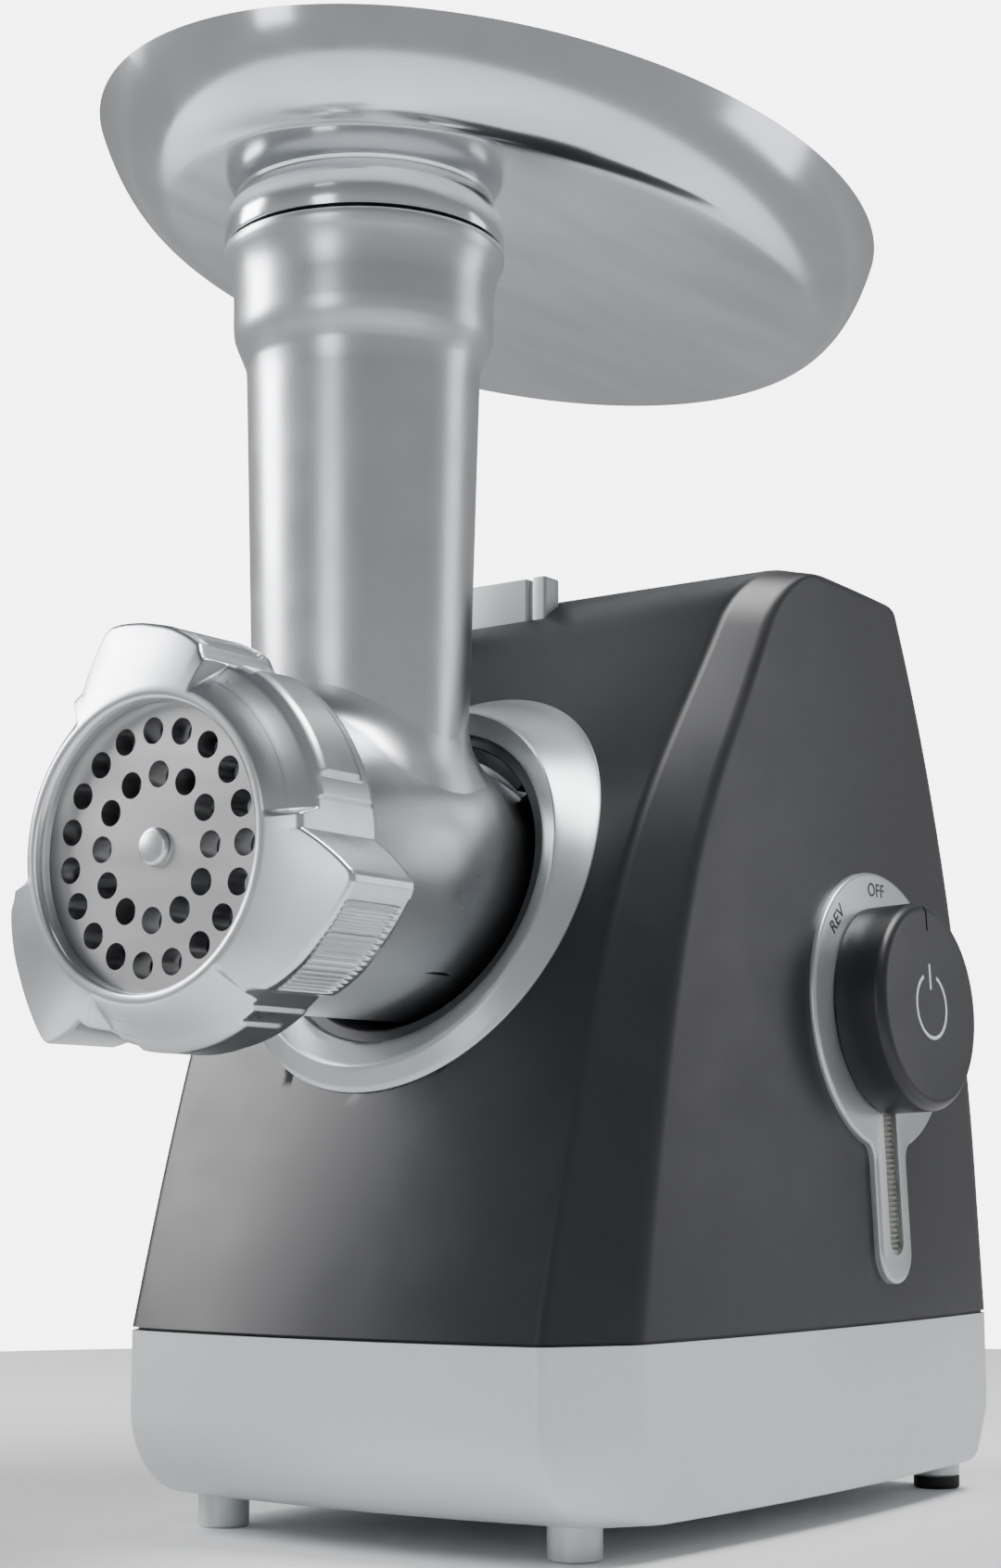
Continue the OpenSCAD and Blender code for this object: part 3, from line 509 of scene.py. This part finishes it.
def shell_mesh(outer, inner):
    """Closed skin between an outer stack of rings and an inner one, open at the first ring."""
    n = len(outer[0])
    verts = [p for r in outer + inner for p in r]
    faces = []
    m = len(outer)
    for j in range(m - 1):
        a, b = j * n, (j + 1) * n
        faces += [(a + i, a + (i + 1) % n, b + (i + 1) % n, b + i) for i in range(n)]
    faces.append(tuple(range((m - 1) * n, m * n)))
    base = m * n
    k = len(inner)
    for j in range(k - 1):
        a, b = base + j * n, base + (j + 1) * n
        faces += [(a + (i + 1) % n, a + i, b + i, b + (i + 1) % n) for i in range(n)]
    faces.append(tuple(range(base + (k - 1) * n, base + k * n))[::-1])
    faces += [((i + 1) % n, i, base + i, base + (i + 1) % n) for i in range(n)]
    return verts, faces


SOCKET_CUT_R = 46.7
BUTTON_SLOT = (-27.5, 1.0), (-24.5, -16.5), (196, 240)
COVER_OPENING = (-44, 44), (30, 120), (58, 196)

levels = body_levels()
outer = [body_ring(z, 0) for z in levels]
inner_levels = [levels[0]] + [60 + 12 * i for i in range(12)] + [204, 209, 213, 216, TOP_Z - WALL]
inner = [body_ring(z, WALL) for z in inner_levels]
body_shell = make("upper_housing", *shell_mesh(outer, inner), angle=28)
socket_cut = lathe("tool", [(0, -130), (SOCKET_CUT_R, -130), (SOCKET_CUT_R, -35), (0, -35)],
                   along_y(0, AUGER_Z))
boolean(body_shell, socket_cut, angle=28)
boolean(body_shell, box_tool(*BUTTON_SLOT), angle=28)
boolean(body_shell, box_tool(*COVER_OPENING), angle=28)
weighted(body_shell)
finish_piece(body_shell, "machine", "body_plastic", "body_shell")

# ---------------------------------------------------------------- base pan
PAN_Z = 7.3
PAN_R = 20.0
PAN_EDGE = 3.0
PAN_LEAN_Z, PAN_LEAN = 21.0, math.tan(math.radians(14))


def pan_ring(z, d):
    front = max(PAN_R - (z - PAN_Z), 0.0)
    back = PAN_R - math.sqrt(max(PAN_R ** 2 - front ** 2, 0.0))
    side = max(PAN_LEAN_Z - z, 0.0) * PAN_LEAN
    low = max(PAN_EDGE - (z - PAN_Z), 0.0)
    edge = PAN_EDGE - math.sqrt(max(PAN_EDGE ** 2 - low ** 2, 0.0))
    corner = SEAM_Y + back
    half = half_plan(corner, corner - BOW, 0.0, REAR_Y - edge * 0.8, side + edge * 0.5,
                     rounds=INNER_ROUNDS if d else CORNER_ROUNDS)
    ring = whole_plan(half)
    if d:
        ring = offset(ring, d)
    return [(x, y, z) for x, y in ring]


pan_top = SEAM_Z - 0.35
pan_zs = [pan_top, pan_top - 0.5, 40, 36, 32, 29] + [
    PAN_Z + PAN_R * (1 - math.cos(math.pi / 2 * (1 - k / 14))) for k in range(15)]
pan_zs = sorted(set(round(z, 4) for z in pan_zs if z <= pan_top), reverse=True)
pan_outer = [pan_ring(z, 0) for z in pan_zs]
pan_inner = [pan_ring(max(z, PAN_Z + WALL), WALL) for z in (pan_top, 36, 27, 20, 14, PAN_Z + WALL)]
base_pan = make("base_tray", *shell_mesh(pan_outer, pan_inner), angle=28)
weighted(base_pan)
finish_piece(base_pan, "machine", "pan_plastic", "base_pan")

# The seam's dark inner lip
lip = [(x, y) for x, y, z in body_ring(SEAM_Z + 0.4, WALL)]
lip_in, lip_out = offset(lip, 1.4), offset(lip, -1.9)
lip_rings = [[(x, y, z) for x, y in o] for o, z in (
    (lip_out, SEAM_Z - 0.36), (lip_out, SEAM_Z + 0.36), (lip_in, SEAM_Z + 0.36), (lip_in, SEAM_Z - 0.36))]
seam_lip = make("seam_lip", *rings_mesh(lip_rings, closed_tube=True))
finish_piece(seam_lip, "machine", "dark_plastic")

# ---------------------------------------------------------------- feet
FOOT_X, FOOT_Y, FOOT_R = 47.84, 81.6, 5.76


def feet(name, y, z0, z1, body, slot, node):
    profile = [(0, z0), (FOOT_R - 0.5, z0), (FOOT_R, z0 + 0.5), (FOOT_R, z1), (0, z1)]
    parts = []
    for x in (-FOOT_X, FOOT_X):
        verts, faces = revolve(profile, 64)
        parts.append(([(a + x, b + y, c) for a, b, c in verts], faces))
    finish_piece(joined(name, parts), body, slot, node)


feet("front_foot_pair", -FOOT_Y, 0.0, 9.2, "machine", "silver_plastic", "front_feet")
feet("rear_foot_pair", FOOT_Y, 3.0, 9.2, "machine", "silver_plastic", "rear_feet")
feet("foot_pad_pair", FOOT_Y, 0.0, 3.0, "machine", "black_rubber", "foot_pads")

# ---------------------------------------------------------------- socket
RIM_Y, RIM_SLOPE = -80.2, 0.36
BEZEL_OUT, BEZEL_CREASE, BEZEL_IN = 46.9, 41.2, 35.7


def rim_plane(z):
    return RIM_Y + RIM_SLOPE * (z - AUGER_Z)


def bezel_section(t):
    def at(r, y=None, shift=0.0):
        x, z = r * math.cos(t), AUGER_Z + r * math.sin(t)
        return (x, (rim_plane(z) if y is None else y) + shift, z)

    def skin(r, shift):
        x, z = r * math.cos(t), AUGER_Z + r * math.sin(t)
        return (x, front_y(x, z) + shift, z)

    crease, edge = Vector(at(BEZEL_CREASE)), Vector(skin(BEZEL_OUT - 0.5, -0.7))
    inner = Vector(at(BEZEL_IN + 0.9, shift=2.4))
    out = [at(BEZEL_IN, -46.0), at(BEZEL_IN, shift=3.6), at(BEZEL_IN + 0.25, shift=2.9)]
    out += [tuple(inner.lerp(crease, k / 5)) for k in range(5)]
    near = crease.lerp(inner, 0.10), crease.lerp(edge, 0.10)
    out += [tuple(near[0]), tuple(crease * 0.5 + (near[0] + near[1]) * 0.25), tuple(near[1])]
    out += [tuple(crease.lerp(edge, k / 5)) for k in range(1, 6)]
    out += [skin(BEZEL_OUT - 0.1, -0.35), skin(BEZEL_OUT, 0.1), skin(BEZEL_OUT, 2.0)]
    out += [at(BEZEL_OUT - 1.5, -46.0)]
    return out


SECTORS = 192
sections = [bezel_section(2 * math.pi * i / SECTORS) for i in range(SECTORS)]
bezel = make("socket_trim", *rings_mesh(sections, closed_tube=True), angle=24)
finish_piece(bezel, "machine", "silver_plastic", "socket_bezel", material="trim_silver")


def cup_section(t):
    def at(r, y=None, shift=0.0):
        x, z = r * math.cos(t), AUGER_Z + r * math.sin(t)
        return (x, (rim_plane(z) if y is None else y) + shift, z)
    return [at(35.6, -43.2), at(35.6, shift=4.2), at(33.4, shift=4.2), at(33.0, shift=4.6),
            at(33.0, -47.0), at(32.0, -46.0), at(15.5, -46.0), at(15.0, -45.5), at(15.0, -43.2)]


cup_parts = [rings_mesh([cup_section(2 * math.pi * i / SECTORS) for i in range(SECTORS)],
                        closed_tube=True)]


def arc_block(r0, r1, y0, y1, a0, a1, n=14):
    rings = []
    for i in range(n + 1):
        t = math.radians(a0 + (a1 - a0) * i / n)
        rings.append([(r * math.cos(t), y, AUGER_Z + r * math.sin(t))
                      for r, y in ((r0, y0), (r1, y0), (r1, y1), (r0, y1))])
    return rings_mesh(rings)


for k in range(3):
    middle = 60 + 120 * k
    cup_parts.append(arc_block(30.3, 33.2, -66.0, -62.0, middle - 17, middle + 17))
socket_cup = joined("socket_sleeve", cup_parts, angle=30)
finish_piece(socket_cup, "machine", "dark_plastic", "socket_cup")

# ---------------------------------------------------------------- feed head
PLATE_Y = -158.83
RING_BACK = -137.0
BARREL = [(34.0, PLATE_Y + 2), (35.0, PLATE_Y + 3)]
for k in range(6):
    y = PLATE_Y + 4 + 3 * k
    BARREL += [(35.0, y), (34.2, y + 0.8), (34.2, y + 1.5), (35.0, y + 2.3)]
BARREL = [p for p in BARREL if p[1] < RING_BACK - 1] + [(35.0, RING_BACK + 0.4)]
BARREL += [(33.5, RING_BACK + 0.9), (31.5, RING_BACK + 1.4), (31.0, RING_BACK + 2.4), (31.0, -100),
           (30.8, -76), (30.3, -73), (28.0, -62), (26.2, -53.5), (25.4, -51.2), (24.6, -50.5)]
BARREL_IN = [(13.0, -50.5), (13.0, -66.6), (13.0, -76), (26.5, -77), (26.5, -148.6), (28.5, -148.8),
             (28.5, -153.83), (31.05, -153.83), (31.05, PLATE_Y + 2)]


def barrel_r(y):
    """Outer radius of the barrel behind the ring."""
    table = [p for p in BARREL if p[1] > RING_BACK + 2]
    for (r0, y0), (r1, y1) in zip(table, table[1:]):
        if y0 <= y <= y1:
            return r0 + (r1 - r0) * (y - y0) / (y1 - y0)
    return table[0][0]


def tube_r(z):
    """Outer radius of the feed tube, which widens upwards."""
    return 24.62 + 0.029 * (z - 200)


COLLAR = [(tube_r(252), 252.0), (26.3, 256.2), (26.7, 257.6), (27.6, 259.8), (28.5, 261.9),
          (29.1, 263.6), (29.35, 266.0), (29.4, 272.0), (29.6, 275.6), (30.2, 278.4),
          (31.0, 280.6), (31.6, 282.0), (31.8, 283.2), (31.6, 284.0), (31.1, 284.3), (28.0, 284.3),
          (27.2, 284.0), (27.0, 283.4), (27.0, 262.5), (22.0, 257.5)]
TUBE = [(tube_r(z), z) for z in (150, 165, 180, 200, 220, 240)] + COLLAR + [(22.0, 150)]

barrel = lathe("feed_head", BARREL + BARREL_IN, along_y(0, AUGER_Z), n=192, angle=30)
tube = lathe("tool", TUBE, moved(0, TUBE_Y, 0), n=160, angle=30)
boolean(barrel, tube, "UNION", angle=30)
boolean(barrel, lathe("tool", [(0, 120), (21.98, 120), (21.98, 262), (0, 262)],
                      moved(0, TUBE_Y, 0), n=160), angle=30)
boolean(barrel, lathe("tool", [(0, -148.5), (26.45, -148.5), (26.45, -77.1), (0, -77.1)],
                      along_y(0, AUGER_Z), n=192), angle=30)


def fillet_section(t, rise=9.0):
    """Soft web between the tube and the barrel at plan angle t round the tube."""
    c, s = math.cos(t), math.sin(t)
    reach = min(rise, 30.4 / max(abs(c), 1e-6) - 24.4) if abs(c) > 0.5 else rise
    reach = max(reach, 4.0)

    def on_barrel(r):
        x, y = r * c, TUBE_Y + r * s
        rb = barrel_r(y)
        return Vector((x, y, AUGER_Z + math.sqrt(max(rb * rb - x * x, 0))))
    foot = on_barrel(24.1)
    top = Vector((tube_r(foot.z + rise) * c, TUBE_Y + tube_r(foot.z + rise) * s, foot.z + rise))
    end = on_barrel(24.1 + reach)
    curve = [top * (1 - u) ** 2 + foot * 2 * u * (1 - u) + end * u ** 2
             for u in (i / 10 for i in range(11))]
    deep = Vector((foot.x * 0.94, TUBE_Y + (foot.y - TUBE_Y) * 0.94, foot.z - 1.5))
    return [tuple(p) for p in curve] + [tuple(end - Vector((0, 0, 1.2))), tuple(deep),
                                        tuple(top - Vector((c, s, 0)) * 1.2)]


web = make("feed_head_web", *rings_mesh(
    [fillet_section(2 * math.pi * i / 160) for i in range(160)], closed_tube=True), angle=45)
lug_parts = [arc_block(25.0, 32.5, -60.4, -55.6, 60 + 120 * k - 15, 60 + 120 * k + 15)
             for k in range(3)]
lugs = joined("feed_head_lugs", lug_parts, angle=30)
key = lathe("feed_head_key", [(0, PLATE_Y + 0.2), (1.6, PLATE_Y + 0.2), (1.9, PLATE_Y + 0.6),
                              (1.9, -153.83), (0, -153.83)],
            along_y(0, AUGER_Z - 31.4), n=32)
for obj in (web, lugs, key):
    finish_piece(obj, "head", "cast_aluminium")
finish_piece(barrel, "head", "cast_aluminium", "head_housing")

# ---------------------------------------------------------------- screw ring
LOBE = [(0, 39.0), (2.0, 39.0), (5.0, 42.0), (9.0, 46.0), (12.0, 48.9), (13.0, 49.5), (14.5, 49.8),
        (17.0, 49.3), (22.0, 48.0), (30.0, 46.0), (37.0, 44.6), (42.0, 43.4), (46.0, 42.4), (48.5, 41.6),
        (50.5, 40.0), (52.5, 39.0), (120, 39.0)]
RING_STEPS = 1440
RIBS = 18.5, 49.0
RIB_PITCH, RIB_DEPTH = 1.72, 0.85


def eased(table, a):
    for (a0, r0), (a1, r1) in zip(table, table[1:]):
        if a0 <= a <= a1:
            return r0 + (r1 - r0) * (a - a0) / (a1 - a0)
    return table[-1][1]


def bump_between(a, low, high, soft):
    """1 between low and high, falling to 0 over soft on either side."""
    def step(u):
        u = min(max(u, 0.0), 1.0)
        return u * u * (3 - 2 * u)
    return step((a - low) / soft) * step((high - a) / soft)


def ring_radius(a, y):
    """Outer radius at angle a (degrees, clockwise from a lobe's leading root) and depth y."""
    r = eased(LOBE, a)
    depth = y - (PLATE_Y - 4)
    ribs = bump_between(a, *RIBS, 1.0) * bump_between(depth, 6.5, 23.5, 1.0)
    phase = (a - RIBS[0]) / RIB_PITCH
    r -= RIB_DEPTH * ribs * (0.5 - 0.5 * math.cos(2 * math.pi * phase)) ** 0.7
    wide = bump_between(a, 58.0, 113.0, 1.6) * bump_between(depth, 5.0, 25.5, 1.0)
    high = bump_between(a, 64.0, 106.0, 1.6) * bump_between(depth, 9.0, 22.0, 1.0)
    r += 0.8 * wide + 0.9 * high
    groove = bump_between(depth, 3.2, 4.6, 0.5) * bump_between(a, 53.0, 118.0, 2.0)
    return r - 0.7 * groove


def ring_section(i):
    turn = i * 360.0 / RING_STEPS
    a = turn % 120.0
    t = math.radians(3.0 - turn)
    edge = eased(LOBE, a)
    front = PLATE_Y - 4
    cone = [(29.3, PLATE_Y - 0.3), (29.3, front + 1.0), (29.55, front + 0.35), (30.2, front),
            (31.3, front), (32.2, front + 0.25)]
    fall = 0.35 + 0.9 * bump_between(a, 53.0, 118.0, 3.0)
    top = edge - 1.1
    cone += [(32.2 + (top - 32.2) * k / 3, front + 0.25 + (top - 32.2) * fall * (k / 3) ** 1.15)
             for k in (1, 2, 3)]
    y_top = cone[-1][1]
    cone += [(edge - 0.4, y_top + 0.35), (edge - 0.05, y_top + 0.9)]
    y0 = y_top + 1.4
    rows = [y0 + (RING_BACK - 0.8 - y0) * k / 22 for k in range(23)]
    body = [(ring_radius(a, y), y) for y in rows]
    back = [(ring_radius(a, RING_BACK - 1) - 0.7, RING_BACK), (35.3, RING_BACK), (35.3, PLATE_Y - 0.3)]
    return [(r * math.cos(t), y, AUGER_Z + r * math.sin(t)) for r, y in cone + body + back]


screw_ring = make("screw_ring_cast", *rings_mesh(
    [ring_section(i) for i in range(RING_STEPS)], closed_tube=True), angle=50)
weighted(screw_ring)
finish_piece(screw_ring, "ring", "cast_aluminium", "screw_ring")

# ---------------------------------------------------------------- tray
TRAY_A, TRAY_B = 127.4, 80.9
FLOOR_Z, RIM_Z, FLARE, SHEET = 297.0, 316.6, 17.0, 1.3
FLARE_A = 51.0
THROAT_R = 24.9
RING_N = 216
tray_place = (moved(0, TUBE_Y, 0) @ Matrix.Rotation(math.radians(4.8), 4, "Z") @ moved(0, 66.0, 0))


def tray_ring(z, inset):
    return [((TRAY_B - inset) * math.cos(t), (TRAY_A - inset) * math.sin(t), z)
            for t in (2 * math.pi * i / RING_N for i in range(RING_N))]


def dish(u):
    """Height and inset of the flare's underside, an arc from the floor (u = 0) to the rim (u = 1)."""
    a, end = math.radians(FLARE_A * u), math.radians(FLARE_A)
    rise = (1 - math.cos(a)) / (1 - math.cos(end))
    return FLOOR_Z + (RIM_Z - FLOOR_Z) * rise, FLARE * (1 - math.sin(a) / math.sin(end))


under = [dish(i / 18) for i in range(19)]
over = [(z + SHEET * (1 - 0.9 * k / 18), inset + SHEET * 0.7 * (k / 18))
        for k, (z, inset) in enumerate(under)]
rim = [(RIM_Z + 0.05, 0.02), (RIM_Z + 0.1, 0.15), (RIM_Z + 0.13, 0.5)]
floor_rings = [(FLOOR_Z, 40.0), (FLOOR_Z, 62.0)]
profile = floor_rings[::-1] + [(FLOOR_Z, 19.5)] + under + rim + over[::-1] + [
    (FLOOR_Z + SHEET, 19.5), (FLOOR_Z + SHEET, 40.0), (FLOOR_Z + SHEET, 62.0)]
tray = make("hopper_dish", *rings_mesh([tray_ring(z, inset) for z, inset in profile]), tray_place,
            angle=40)
throat = lathe("tool", [(0, 250), (THROAT_R, 250), (THROAT_R, 330), (0, 330)], moved(0, TUBE_Y, 0))
boolean(tray, throat, angle=40)
NECK = [(24.7, 266.0), (25.6, 266.0), (26.5, 267.0), (26.5, 284.8), (30.9, 284.8), (31.4, 285.0),
        (31.6, 285.6), (31.65, 288.0), (31.6, 290.4), (31.2, 292.2), (30.3, 293.8), (29.3, 295.2),
        (28.8, 296.4), (29.4, 297.1), (31.5, 297.4), (31.5, 298.2), (24.7, 298.2)]
neck = lathe("hopper_neck", NECK, moved(0, TUBE_Y, 0), n=160, angle=30)
finish_piece(tray, "tray", "tray_metal", "hopper_tray")
finish_piece(neck, "tray", "tray_metal")

# ---------------------------------------------------------------- controls on the side
KNOB_AT = (65.1, 20.3, 116.6)
side_place = moved(*KNOB_AT) @ Matrix.Rotation(math.radians(87.5), 4, "Y")
PLATE_H = 2.5
KNOB_R, KNOB_H = 24.5, 12.5
TAB_R, TAB_LEN = 7.5, 56.3
PLATE_R = 33.0


def plate_outline():
    """Disc with a round-ended tab towards local +X, its roots lightly filleted."""
    root = math.asin((TAB_R + 2.2) / (PLATE_R + 0.4))
    pts = [(PLATE_R * math.cos(t), PLATE_R * math.sin(t))
           for t in (root + (2 * math.pi - 2 * root) * i / 150 for i in range(151))]
    x0 = PLATE_R * math.cos(root)
    pts += [(x0 + 1.0, -TAB_R - 0.9), (x0 + 2.4, -TAB_R - 0.2), (x0 + 4.0, -TAB_R)]
    pts += [(TAB_LEN + TAB_R * math.cos(t), TAB_R * math.sin(t))
            for t in (-math.pi / 2 + math.pi * i / 32 for i in range(33))]
    pts += [(x0 + 4.0, TAB_R), (x0 + 2.4, TAB_R + 0.2), (x0 + 1.0, TAB_R + 0.9)]
    return pts


plate = joined("knob_plate", [prism(plate_outline(), -1.2, PLATE_H, bevel=0.9)], angle=30,
               place=side_place)


def slot_outline(r, x0=22.0, x1=54.0, n=16):
    return [(x1 + r * math.cos(t), r * math.sin(t))
            for t in (-math.pi / 2 + math.pi * i / n for i in range(n + 1))] + [(x0, r), (x0, -r)]


boolean(plate, joined("tool", [prism(slot_outline(3.25), -5, 10)], place=side_place), angle=30)
finish_piece(plate, "machine", "silver_plastic", "knob_bezel", material="trim_silver")

# Light strip: clear bar over a ribbed reflector
window_parts = [prism(slot_outline(3.2), -2.0, PLATE_H - 1.3)]
for k in range(26):
    x = 23.5 + 1.25 * k
    window_parts.append(prism([(x, -2.5), (x + 0.7, -2.5), (x + 0.7, 2.5), (x, 2.5)],
                              PLATE_H - 1.32, PLATE_H - 0.95, bevel=0.15, steps=2))
for s in (-1, 1):
    window_parts.append(prism([(22.5, s * 2.9 - 0.25), (54.0, s * 2.9 - 0.25), (54.0, s * 2.9 + 0.25),
                               (22.5, s * 2.9 + 0.25)], PLATE_H - 1.32, PLATE_H - 0.85, bevel=0.15, steps=2))
window = joined("light_strip", window_parts, place=side_place)
finish_piece(window, "machine", "window_plastic", "light_window")

k0, k1 = PLATE_H + 0.3, PLATE_H + 0.3 + KNOB_H
knob_profile = [(0, k0 + 9.5), (3.0, k0 + 9.5), (6.0, k0 + 9.5), (6.0, k0 + 0.3), (8.5, k0 + 0.3),
                (8.5, k0 + 9.5), (21.9, k0 + 9.5), (22.3, k0), (KNOB_R - 0.3, k0), (KNOB_R, k0 + 0.3),
                (KNOB_R, k1 - 2.3), (KNOB_R - 0.15, k1 - 1.6), (KNOB_R - 0.6, k1 - 0.9),
                (KNOB_R - 1.3, k1 - 0.35), (KNOB_R - 2.1, k1 - 0.05), (KNOB_R - 2.8, k1), (0, k1)]
knob = lathe("knob_cap", knob_profile, side_place, n=160, angle=30)
notch = joined("tool", [prism([(-KNOB_R - 2, -0.35), (-KNOB_R + 6.5, -0.35), (-KNOB_R + 7.0, 0),
                               (-KNOB_R + 6.5, 0.35), (-KNOB_R - 2, 0.35)], k1 - 0.9, k1 + 3)],
               place=side_place)
boolean(knob, notch, angle=30)
finish_piece(knob, "knob", "body_plastic", "control_knob")


def band(r0, r1, a0, a1, z0, z1, n=60):
    rings = []
    for i in range(n + 1):
        t = math.radians(a0 + (a1 - a0) * i / n)
        rings.append([(-r * math.cos(t), r * math.sin(t), z)
                      for r, z in ((r0, z0), (r1, z0), (r1, z1), (r0, z1))])
    return rings_mesh(rings)


MARK = 0.05
WORD_SIZE, WORD_AT = 4.6, 28.6
power = joined("power_mark", [
    band(7.1, 7.9, 26, 334, k1 - 0.1, k1 + MARK),
    prism([(-9.9, -0.42), (-3.9, -0.42), (-3.9, 0.42), (-9.9, 0.42)], k1 - 0.1, k1 + MARK)],
    place=side_place)
finish_piece(power, "knob", "silver_plastic", material="marking_grey")


def dial_word(word, degrees):
    """Text lying on the knob plate, its foot towards the centre, at an angle from the top."""
    curve = bpy.data.curves.new("dial_" + word.lower(), "FONT")
    curve.body = word
    curve.align_x = "CENTER"
    curve.align_y = "CENTER"
    curve.size = WORD_SIZE * MM
    curve.extrude = 0.03 * MM
    curve.offset = 0.03 * MM
    curve.space_character = 1.05
    obj = bpy.data.objects.new("dial_" + word.lower(), curve)
    bpy.context.scene.collection.objects.link(obj)
    # text +X runs along local +Y (towards the rear), text +Y up the wall (local -X)
    upright = Matrix(((0, -1, 0, 0), (1, 0, 0, 0), (0, 0, 1, 0), (0, 0, 0, 1)))
    turn = Matrix.Rotation(math.radians(-degrees), 4, "Z")
    out = Matrix.Translation(Vector((-WORD_AT, 0, PLATE_H + 0.03)) * MM)
    place = side_place @ turn @ out @ upright
    bpy.context.view_layer.update()
    mesh = bpy.data.meshes.new_from_object(obj.evaluated_get(bpy.context.evaluated_depsgraph_get()))
    mesh.transform(place)
    bpy.data.objects.remove(obj)
    piece = bpy.data.objects.new("dial_" + word.lower(), mesh)
    bpy.context.scene.collection.objects.link(piece)
    finish_piece(piece, "machine", "silver_plastic", material="marking_black")


for word, degrees in (("REV", -45), ("OFF", 0), ("ON", 45)):
    dial_word(word, degrees)

# ---------------------------------------------------------------- release button
BUTTON_ROUND = 0.7
button_parts = [
    box_tool((-26.8, -4.5), (-24.0, -17.2), (203, 223.3)),
    box_tool((-3.4, 0.6), (-23.6, -17.2), (203, 223.5)),
    box_tool((-5.0, -3.0), (-22.9, -17.2), (203, 222.6))]
for obj in button_parts:
    soften(obj, BUTTON_ROUND)
stem = box_tool((-16, -10), (-24, -20), (200, 204))
bm = bmesh.new()
for o in button_parts + [stem]:
    bm.from_mesh(o.data)
merged = bpy.data.meshes.new("release_key")
bm.to_mesh(merged)
bm.free()
smooth(merged, 30)
release = bpy.data.objects.new("release_key", merged)
bpy.context.scene.collection.objects.link(release)
for o in button_parts + [stem]:
    bpy.data.objects.remove(o)
finish_piece(release, "latch", "silver_plastic", "release_button")

# ---------------------------------------------------------------- auger pin face
pin_profile = [(0, PLATE_Y - 1.3), (3.1, PLATE_Y - 1.3), (3.6, PLATE_Y - 1.1),
               (3.88, PLATE_Y - 0.7), (3.88, PLATE_Y + 1.5), (0, PLATE_Y + 1.5)]
pin = lathe("auger_pin_end", pin_profile, along_y(0, AUGER_Z), n=64)
finish_piece(pin, "drive", "cast_aluminium")

# ---------------------------------------------------------------- studio
FLOOR_R = 0.64
BACKDROP = 6.0
WORLD_LIGHT = 0.48

floor_mesh = bpy.data.meshes.new("floor")
floor_mesh.from_pydata([(FLOOR_R * math.cos(t), FLOOR_R * math.sin(t), 0)
                        for t in (math.tau * i / 96 for i in range(96))], [], [tuple(range(96))])
floor = bpy.data.objects.new("floor", floor_mesh)
bpy.context.scene.collection.objects.link(floor)
floor_mat = node_material("floor_paint", "#f4f4f4", 0.6)
add_tint(floor_mat, "#f3f3f3", "#f5f5f5", 2)
dress(floor, floor_mat)

world = bpy.data.worlds.new("world")
bpy.context.scene.world = world
world.use_nodes = True
wn, wl = world.node_tree.nodes, world.node_tree.links
light_part = wn["Background"]
light_part.inputs["Strength"].default_value = WORLD_LIGHT
seen_part = wn.new("ShaderNodeBackground")
seen_part.inputs["Color"].default_value = (1.0, 1.0, 1.0, 1.0)
seen_part.inputs["Strength"].default_value = BACKDROP
sky = wn.new("ShaderNodeTexCoord")
split = wn.new("ShaderNodeSeparateXYZ")
shade = wn.new("ShaderNodeValToRGB")
shade.color_ramp.elements[0].position = 0.0
shade.color_ramp.elements[0].color = (0.85, 0.85, 0.87, 1.0)
shade.color_ramp.elements[1].position = 0.75
shade.color_ramp.elements[1].color = (0.22, 0.23, 0.25, 1.0)
shade.color_ramp.elements.new(0.02).color = (0.95, 0.95, 0.95, 1.0)
wl.new(sky.outputs["Generated"], split.inputs["Vector"])
wl.new(split.outputs["Z"], shade.inputs["Fac"])
wl.new(shade.outputs["Color"], light_part.inputs["Color"])
path = wn.new("ShaderNodeLightPath")
both = wn.new("ShaderNodeMixShader")
wl.new(path.outputs["Is Camera Ray"], both.inputs["Fac"])
wl.new(light_part.outputs["Background"], both.inputs[1])
wl.new(seen_part.outputs["Background"], both.inputs[2])
wl.new(both.outputs["Shader"], wn["World Output"].inputs["Surface"])


def soft_light(name, at, aim, size, size_y, watts):
    data = bpy.data.lights.new(name, "AREA")
    data.shape = "RECTANGLE"
    data.size, data.size_y, data.energy = size, size_y, watts
    obj = bpy.data.objects.new(name, data)
    bpy.context.scene.collection.objects.link(obj)
    obj.location = at
    obj.rotation_euler = (Vector(aim) - Vector(at)).to_track_quat("-Z", "Y").to_euler()


soft_light("key", (-1.10, -0.60, 0.80), (0, -0.05, 0.15), 0.5, 0.8, 22)
soft_light("top", (0.45, 0.15, 1.20), (0, 0, 0.2), 0.7, 0.5, 20)
soft_light("back_right", (0.95, 1.10, 0.45), (0, 0, 0.15), 0.5, 0.7, 2)
soft_light("front", (0.15, -1.40, 0.25), (0, -0.05, 0.15), 0.35, 0.6, 2)
